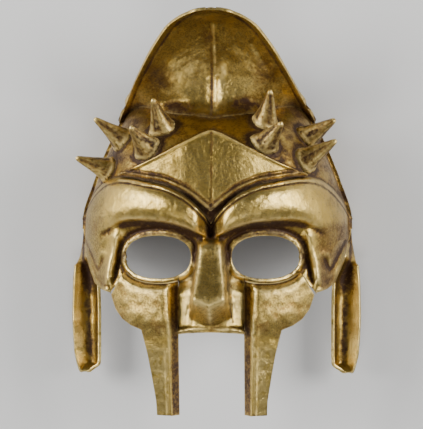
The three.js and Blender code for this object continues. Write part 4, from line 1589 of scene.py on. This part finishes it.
@dataclass
class HangingParts:
    """What hangs below the visor: a cheek with its bar, and a guard, on each side."""

    form: HeadForm
    # Length of one step of a sheet, in millimetres.
    pace: float = 0.75
    # Width and length of the cheek's sheet, length of the guard's and how many columns that one takes.
    cheek_size: tuple[float, float] = (46.0, 92.0)
    guard_length: float = 100.0
    guard_columns: int = 30
    # How far the cheek's top edge curls down, and how wide the curl is.
    curl_drop: float = 8.5
    curl_width: float = 1.9
    # The guard's trough: the height of its floor, and how far its two walls rise over that.
    trough: float = 10.0
    inner_wall: float = 8.0
    outer_wall: float = 5.6

    def seam_distance(self, x: Array, y: Array) -> Array:
        """How far places lie from the seam between the visor and the cheek."""
        return distance_to_line(x, y, self.form.cheek_seam(self.form.seam / 2)[1:])

    def cheek(self) -> Plate:
        """The right cheek and its bar.

        Returns:
            The plate.
        """
        form = self.form

        def place(u: Array, v: Array) -> tuple[Array, Array]:
            """Columns run down the bar and spread over the cheek.

            Args:
                u: places across the sheet, -1 to 1.
                v: places up the sheet, 0 to 1.

            Returns:
                The x and y of the places.
            """
            y = mix(form.bottom, -37.0, v)
            wide = mix(36.5, 66.0, ramp(y, -104.0, -72.0))
            return mix(form.bar_inner, wide, u * 0.5 + 0.5), y

        outline = [
            (form.bar_inner, form.bottom), (form.bar_inner, -78.2), *form.cheek_seam(-0.05), *form.cheek_edge,
        ]

        def height(x: Array, y: Array) -> Array:
            """The cheek, whose top edge curls down to the visor along the seam."""
            curl = self.curl_drop * np.exp(-((self.seam_distance(x, y) / self.curl_width) ** 2))
            return form.cheek_height(x, y) - curl * ramp(x, 25.0, 28.0)

        def detail(x: Array, y: Array) -> Array:
            """A raised line along the bar's ridge, and a rim under the eye.

            Args:
                x: the places' x.
                y: the places' y.

            Returns:
                How far the relief stands out, in millimetres.
            """
            ridge = form.ridge_x(y)
            line = 0.45 * bump(x, ridge + 0.5, 0.9) - 0.3 * bump(x, ridge + 2.6, 0.9)
            seam = self.seam_distance(x, y)
            top = 0.9 * bump(seam, 1.3, 1.1)
            hand = (0.1 + 0.2 * ramp(y, -86.0, -74.0)) * ripple(x, y, 19.0, 5.2)
            hand = hand + 0.05 * ripple(x, y, 6.0, 2.4)
            return line + top + hand - 0.5 * bump(seam, 4.0, 1.2)

        def grime_and_shade(x: Array, y: Array) -> Array:
            """Painted shade on the inner bevel, which lies in shadow; brown stays under the eye and along the
            lower end.

            Args:
                x: the places' x.
                y: the places' y.

            Returns:
                How dark each place is, 0 to 1.
            """
            ridge = form.ridge_x(y)
            # Painted shade on the inner bevel, which lies in shadow.
            bevel = 0.56 * fade(x, form.bar_inner + 3.6, ridge - 0.2)
            inner = 0.95 * bump(x, form.bar_inner + 0.9, 1.5) * ramp(y, -84.0, -70.0)
            lower = 0.6 * bump(x, form.bar_inner + 1.2, 2.0)
            seam = 0.85 * bump(self.seam_distance(x, y), 0.0, 1.0)
            foot = 0.5 * bump(y, form.bottom, 1.6)
            outer = 0.4 * bump(distance_to_line(x, y, form.cheek_edge), 0.6, 1.2)
            cloud = 0.18 + 0.2 * ripple(x, y, 31.0, 3.7)
            return np.maximum.reduce([bevel, inner, lower, seam, foot, outer, cloud])

        def tarnish_and_shade(x: Array, y: Array) -> Array:
            """The cheek is duller than the bar, most of all towards its outer edge."""
            return 0.12 + (0.88 + 0.35 * ramp(x, 36.0, 52.0)) * ramp(y, -84.0, -74.0)

        def painted_highlights(x: Array, y: Array) -> Array:
            """A painted highlight down the front of the bar."""
            return 0.9 * fade(y, -88.0, -80.0) * ramp(x, 25.0, 27.0)

        columns, rows = (round(length / self.pace) for length in self.cheek_size)
        return Plate(
            "cheek_plate_gilded", columns, rows, place, height, grime_and_shade, outline, detail=detail,
            tarnish_and_shade=tarnish_and_shade, painted_highlights=painted_highlights, edge=0.5, softness=2, hollow_share=0.6,
        )

    def guard(self) -> Plate:
        """The right side guard, an open channel.

        Returns:
            The plate.
        """
        form = self.form

        def place(u: Array, v: Array) -> tuple[Array, Array]:
            """Columns run down the channel, closer together by its two edges.

            Args:
                u: places across the sheet, -1 to 1.
                v: places up the sheet, 0 to 1.

            Returns:
                The x and y of the places.
            """
            y = mix(form.guard[0][0], -13.6, v**1.15)
            outer = mix(form.guard_outer(y), 87.6, ramp(y, -26.0, -13.6))
            return mix(form.guard_inner(y), outer, spread(u) * 0.5 + 0.5), y

        def height(x: Array, y: Array) -> Array:
            """A shallow trough, which closes above into a flank that carries the temple down to the rim.

            Args:
                x: the places' x.
                y: the places' y.

            Returns:
                The heights, z.
            """
            inner, outer = form.guard_inner(y), form.guard_outer(y)
            s = np.clip((np.abs(x) - inner) / np.maximum(outer - inner, 0.1), 0.0, 1.0)
            temple = np.maximum(form.visor_height(inner, y), form.wall)
            flank = mix(temple, np.full(np.shape(s), form.wall), s**0.9)
            floor = 0.4
            inner_wall = self.inner_wall * np.clip(1.0 - s / floor, 0.0, 1.0) ** 2.6
            outer_wall = self.outer_wall * np.clip((s - floor) / (1.0 - floor), 0.0, 1.0) ** 1.4
            end = self.outer_wall * fade(y, form.guard[0][0], -98.0)
            trough = self.trough + np.maximum.reduce([inner_wall * form.guard_depth(y), outer_wall, end])
            return mix(trough, flank, ramp(y, -37.0, -29.0))

        def detail(x: Array, y: Array) -> Array:
            """Dents of a channel pressed by hand."""
            return (0.3 * ripple(x, y, 41.0, 6.3) + 0.05 * ripple(x, y, 9.0, 1.3)) * ramp(-y, 22.0, 40.0)

        def grime_and_shade(x: Array, y: Array) -> Array:
            """Painted shade fills the top of the channel, under the temple, and it is darker along its
            deepest line.

            Args:
                x: the places' x.
                y: the places' y.

            Returns:
                How dark each place is, 0 to 1.
            """
            inner, outer = form.guard_inner(y), form.guard_outer(y)
            across = (x - inner) / (outer - inner)
            # Painted shade in the top of the channel, under the temple.
            top = 0.85 * ramp(y, -66.0, -44.0) * fade(y, -36.0, -31.0) * bump(across, 0.42, 0.36)
            deepest = 0.4 + 0.06 * ripple(x, y, 13.0, 4.1)
            floor = (0.7 + 0.3 * ripple(x, y, 21.0, 2.6)) * bump(across, deepest, 0.17)
            rim = 0.5 * bump(across, 0.07, 0.05)
            flank = 0.45 * ramp(y, -34.0, -26.0) * ramp(x, 84.5, 86.5)
            return np.maximum.reduce([top, floor, rim]) * ramp(y, -103.0, -97.0) + flank

        def painted_highlights(x: Array, y: Array) -> Array:
            """A painted highlight on the middle of the outer wall."""
            return bump((x - form.guard_inner(y)) / 14.0, 0.85, 0.25) * bump(y, -78.0, 20.0)

        rows = round(self.guard_length / self.pace)
        return Plate(
            "side_guard_gilded", self.guard_columns, rows, place, height, grime_and_shade, detail=detail,
            tarnish_and_shade=lambda x, y: 0.15 + 0.4 * bump(y, -84.0, 15.0), painted_highlights=painted_highlights, thickness=2.0, edge=0.0,
            softness=2,
        )


@dataclass
class Spikes:
    """The eight hand-made spikes on the skull."""

    form: HeadForm
    # Radius at the foot and at the tip, and how much the foot flares, in millimetres.
    radius: float = 8.6
    tip: float = 1.3
    flare: float = 0.5
    sides: int = 40
    rings: int = 22
    # Shares: how much the middle is drawn in, where the rounded tip starts and how dull and dark the leaf is,
    # the darkness a painted shade.
    waist: float = 0.09
    tip_start: float = 0.93
    dullness_and_shade: float = 0.9
    # How deep the crease is where the spike's sheet was wrapped, in millimetres.
    wrap_depth: float = 0.35
    # How far below and above its foot's middle a spike may meet the skull, and the steps to find it.
    reach: tuple[float, float] = (-16.0, 14.0)
    halvings: int = 30
    table: tuple[SpikeRow, ...] = (
        ("spike_left_1", -31.9, 50.2, -4.6, 17.8, 15.4, 24.0),
        ("spike_left_2", -58.2, 43.6, -17.1, 13.7, 9.8, 24.0),
        ("spike_left_3", -66.8, 24.5, -19.5, 7.9, 11.6, 24.0),
        ("spike_left_4", -40.5, 37.6, -10.8, 14.4, 15.9, 21.0),
        ("spike_right_1", 32.8, 54.0, 3.6, 19.7, 13.3, 24.0),
        ("spike_right_2", 32.6, 40.4, 12.0, 13.6, 15.8, 22.0),
        ("spike_right_3", 58.7, 45.2, 17.5, 11.0, 12.1, 24.0),
        ("spike_right_4", 58.0, 30.4, 19.3, 12.5, 8.5, 24.0),
    )

    def ground(self, x: Array, y: Array) -> Array:
        """Height of what the spikes stand on.

        Args:
            x: the places' x.
            y: the places' y.

        Returns:
            The heights, z.
        """
        form, across = self.form, np.abs(x)
        low = np.where(y < form.brow_top_y(across), form.visor_height(x, y), form.skull_height(x, y))
        return np.where(y > form.fold_y(across), form.crest_height(x, y), low)

    def cone(self, name: str) -> bpy.types.Object:
        """Models a plain cone, cut into rings that lie closer together towards its tip.

        Args:
            name: the spike's name.

        Returns:
            The cone, one unit tall.
        """
        bpy.ops.object.select_all(action="DESELECT")
        bpy.ops.mesh.primitive_cone_add(
            vertices=self.sides,
            radius1=1.0,
            radius2=0.6,
            depth=1.0,
            end_fill_type="TRIFAN",
            location=(0, 0, 0),
        )
        obj = bpy.context.object
        obj.name = obj.data.name = name + "_gilded"
        bpy.ops.object.mode_set(mode="EDIT")
        for i in range(1, self.rings):
            bpy.ops.mesh.select_all(action="SELECT")
            level = -0.5 + (i / self.rings) ** 0.8
            bpy.ops.mesh.bisect(plane_co=(0, 0, level), plane_no=(0, 0, 1))
        bpy.ops.object.mode_set(mode="OBJECT")
        return obj

    def landing(self, base: Array, axis: Array) -> Array:
        """How far along its axis a spike meets the mask, for each place of its foot.

        Args:
            base: the places, level with the foot's middle.
            axis: the spike's direction.

        Returns:
            The distances, below 0 where the mask lies lower.
        """
        low, high = (np.full(len(base), end) for end in self.reach)
        for _ in range(self.halvings):
            middle = (low + high) / 2
            probe = base + middle[:, None] * axis
            above = probe[:, 2] > self.ground(probe[:, 0], probe[:, 1]) + 0.1
            low, high = np.where(above, low, middle), np.where(above, middle, high)
        return low

    def spike(self, row: SpikeRow) -> bpy.types.Object:
        """Makes one spike.

        Args:
            row: its row of the table.

        Returns:
            The finished object.
        """
        name, x, y, to_x, to_y, to_z, length = row
        obj = self.cone(name)
        raw = numbers_of(obj.data.vertices, "co", 3)
        level = raw[:, 2] + 0.5
        turn = np.arctan2(raw[:, 1], raw[:, 0])
        on_axis = np.hypot(raw[:, 0], raw[:, 1]) < 1e-4
        seed = sum(map(ord, name)) * 0.37
        waist = mix(self.radius, self.tip, level) * (1.0 - self.waist * np.sin(level * math.pi))
        flare = self.flare * np.exp(-level * 16.0)
        beyond = ((level - self.tip_start) / 0.07).clip(0, 1)
        tip = np.sqrt(np.clip(1.0 - beyond**2, 0.0, 1.0))
        facets = 1.0 + 0.055 * np.cos(4 * turn + seed) + 0.03 * np.cos(3 * turn - seed + 4 * level)
        wrap = np.exp(-(((turn - seed % 5.0 + 2.5) / 0.2) ** 2)) * (1.0 - level) ** 0.5
        crumple = 1.0 + 0.02 * ripple(turn * 6.0, level * 20.0, 7.0, seed)
        radius = (waist + flare) * facets * crumple - self.wrap_depth * wrap
        radius = radius * np.maximum(tip, 0.02) * ~on_axis
        axis = Vector((to_x, to_y, to_z)).normalized()
        right = axis.orthogonal().normalized()
        up = axis.cross(right)
        axis, right, up = (np.array(v) for v in (axis, right, up))
        foot = np.array([x, y, float(self.form.skull_height(np.array(x), np.array(y)))])
        ring = foot + np.outer(radius * np.cos(turn), right) + np.outer(radius * np.sin(turn), up)
        base_radius = np.where(on_axis, 0.0, self.radius + self.flare)
        base = foot + np.outer(base_radius * np.cos(turn), right) + np.outer(base_radius * np.sin(turn), up)
        along = mix(self.landing(base, axis), np.full(len(raw), length), level)
        bend = 0.5 * math.sin(seed) * level**2
        points = ring + along[:, None] * axis + bend[:, None] * right
        set_points(obj, points)
        hollow = curvature(obj, 10)
        # Brown patches, whose floor also darkens the whole spike as painted shade.
        patches = 0.44 + 0.34 * ripple(points[:, 0] + points[:, 2], points[:, 1], 9.0, seed)
        # Glue and painted shadow round the foot.
        foot_ring = 1.2 * np.exp(-level * length / 5.0)
        valleys = 0.62 - 0.6 * ramp(facets, 0.95, 1.04)
        store(obj, "grime_and_shade", np.maximum.reduce([foot_ring, patches, valleys, 0.8 * wrap, hollow / 0.6]))
        store(obj, "wear_and_highlight", np.maximum(ramp(level, 0.86, 1.0), -curvature(obj, 3) / 0.2))
        store(obj, "inner", np.zeros(len(points)))
        store(obj, "tarnish_and_shade", np.full(len(points), self.dullness_and_shade))
        points[:, 1] -= MIDDLE_Y
        set_points(obj, points)
        select_only(obj)
        bpy.ops.object.shade_smooth()
        return obj


@dataclass(frozen=True)
class Studio:
    """Camera, lights and surroundings."""

    target: tuple[float, float, float] = (-0.00056, -0.0013, 0.060)
    distance: float = 1.2
    turn: float = math.atan(0.052)
    lens: float = 162.4
    aim: tuple[float, float, float] = (0.0, 0.0, 0.05)
    # Name, place, side in metres, power in watts.
    softboxes: tuple[tuple[str, tuple[float, float, float], float, float], ...] = (
        ("left_softbox", (-1.14, 0.28, 0.66), 0.7, 21.5),
        ("right_softbox", (1.14, 0.28, 0.66), 0.7, 18.5),
        ("low_softbox", (0.0, -0.8, 1.0), 0.7, 5.0),
    )
    room_tone: Colour = (0.9, 0.95, 1.0, 1.0)
    room_strength: float = 0.12

    def camera(self) -> None:
        """Sets the camera at the photograph's viewing angle."""
        data = bpy.data.cameras.new("camera")
        data.lens = self.lens
        camera = bpy.data.objects.new("camera", data)
        x, y, z = self.target
        across, up = self.distance * math.sin(self.turn), self.distance * math.cos(self.turn)
        camera.location = (x + across, y, z + up)
        camera.rotation_euler = (0.0, self.turn, 0.0)
        bpy.context.scene.collection.objects.link(camera)
        bpy.context.scene.camera = camera

    def softbox(self, name: str, place: tuple[float, float, float], size: float, power: float) -> None:
        """Hangs one soft light that faces the mask.

        Args:
            name: the light's name.
            place: where it hangs.
            size: the length of its side.
            power: its strength, in watts.
        """
        data = bpy.data.lights.new(name, "AREA")
        data.shape, data.size, data.energy = "SQUARE", size, power
        light = bpy.data.objects.new(name, data)
        light.location = place
        light.rotation_euler = (Vector(self.aim) - Vector(place)).to_track_quat("-Z", "Y").to_euler()
        bpy.context.scene.collection.objects.link(light)

    def lights(self) -> None:
        """Hangs the lights and dims the room."""
        for row in self.softboxes:
            self.softbox(*row)
        world = bpy.context.scene.world or bpy.data.worlds.new("room")
        bpy.context.scene.world = world
        world.use_nodes = True
        background = world.node_tree.nodes["Background"]
        background.inputs["Color"].default_value = self.room_tone
        background.inputs["Strength"].default_value = self.room_strength


def dress(obj: bpy.types.Object, node: str, material: bpy.types.Material) -> None:
    """Gives a piece its finish and its place in the frame.

    Args:
        obj: the piece.
        node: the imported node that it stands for.
        material: its finish.
    """
    obj.data.materials.clear()
    obj.data.materials.append(material)
    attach(obj, "root")
    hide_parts(node)
    log.info("%s stands for %s with %d faces", obj.name, node, len(obj.data.polygons))


def main() -> None:
    """Builds the mask and the studio round it."""
    logging.basicConfig(level=logging.INFO, format="%(name)s: %(message)s")
    form = HeadForm()
    spikes = Spikes(form)
    shell = Shell(form, spikes=spikes.table)
    hanging = HangingParts(form)
    sheets, patina = leaf_sheets(), patina_and_painted_light()
    leaf = GoldLeaf("Burnished leaf").material(sheets, patina)
    # A darker copy of the leaf for the spikes: painted shade.
    spike_leaf = GoldLeaf(
        "Spike leaf", bright=(0.54, 0.365, 0.09, 1.0), deep=(0.38, 0.25, 0.065, 1.0), polish=0.27
    ).material(sheets, patina)
    for plate, node in (
        (shell.skull(), "skull_shell"),
        (shell.crest(), "crest"),
        (shell.brow_plate(), "brow_plate"),
        (shell.visor(), "visor"),
    ):
        dress(plate.build(), node, leaf)
    for side in Side:
        for plate, stem in ((hanging.cheek(), "cheek_plate"), (hanging.guard(), "side_guard")):
            plate.name = f"{stem}_{side.word}_gilded"
            dress(plate.build(side), f"{stem}_{side.word}", leaf)
    for row in spikes.table:
        dress(spikes.spike(row), row[0], spike_leaf)
    PaleFloor().build()
    studio = Studio()
    studio.camera()
    studio.lights()


if __name__ == "__main__":
    main()
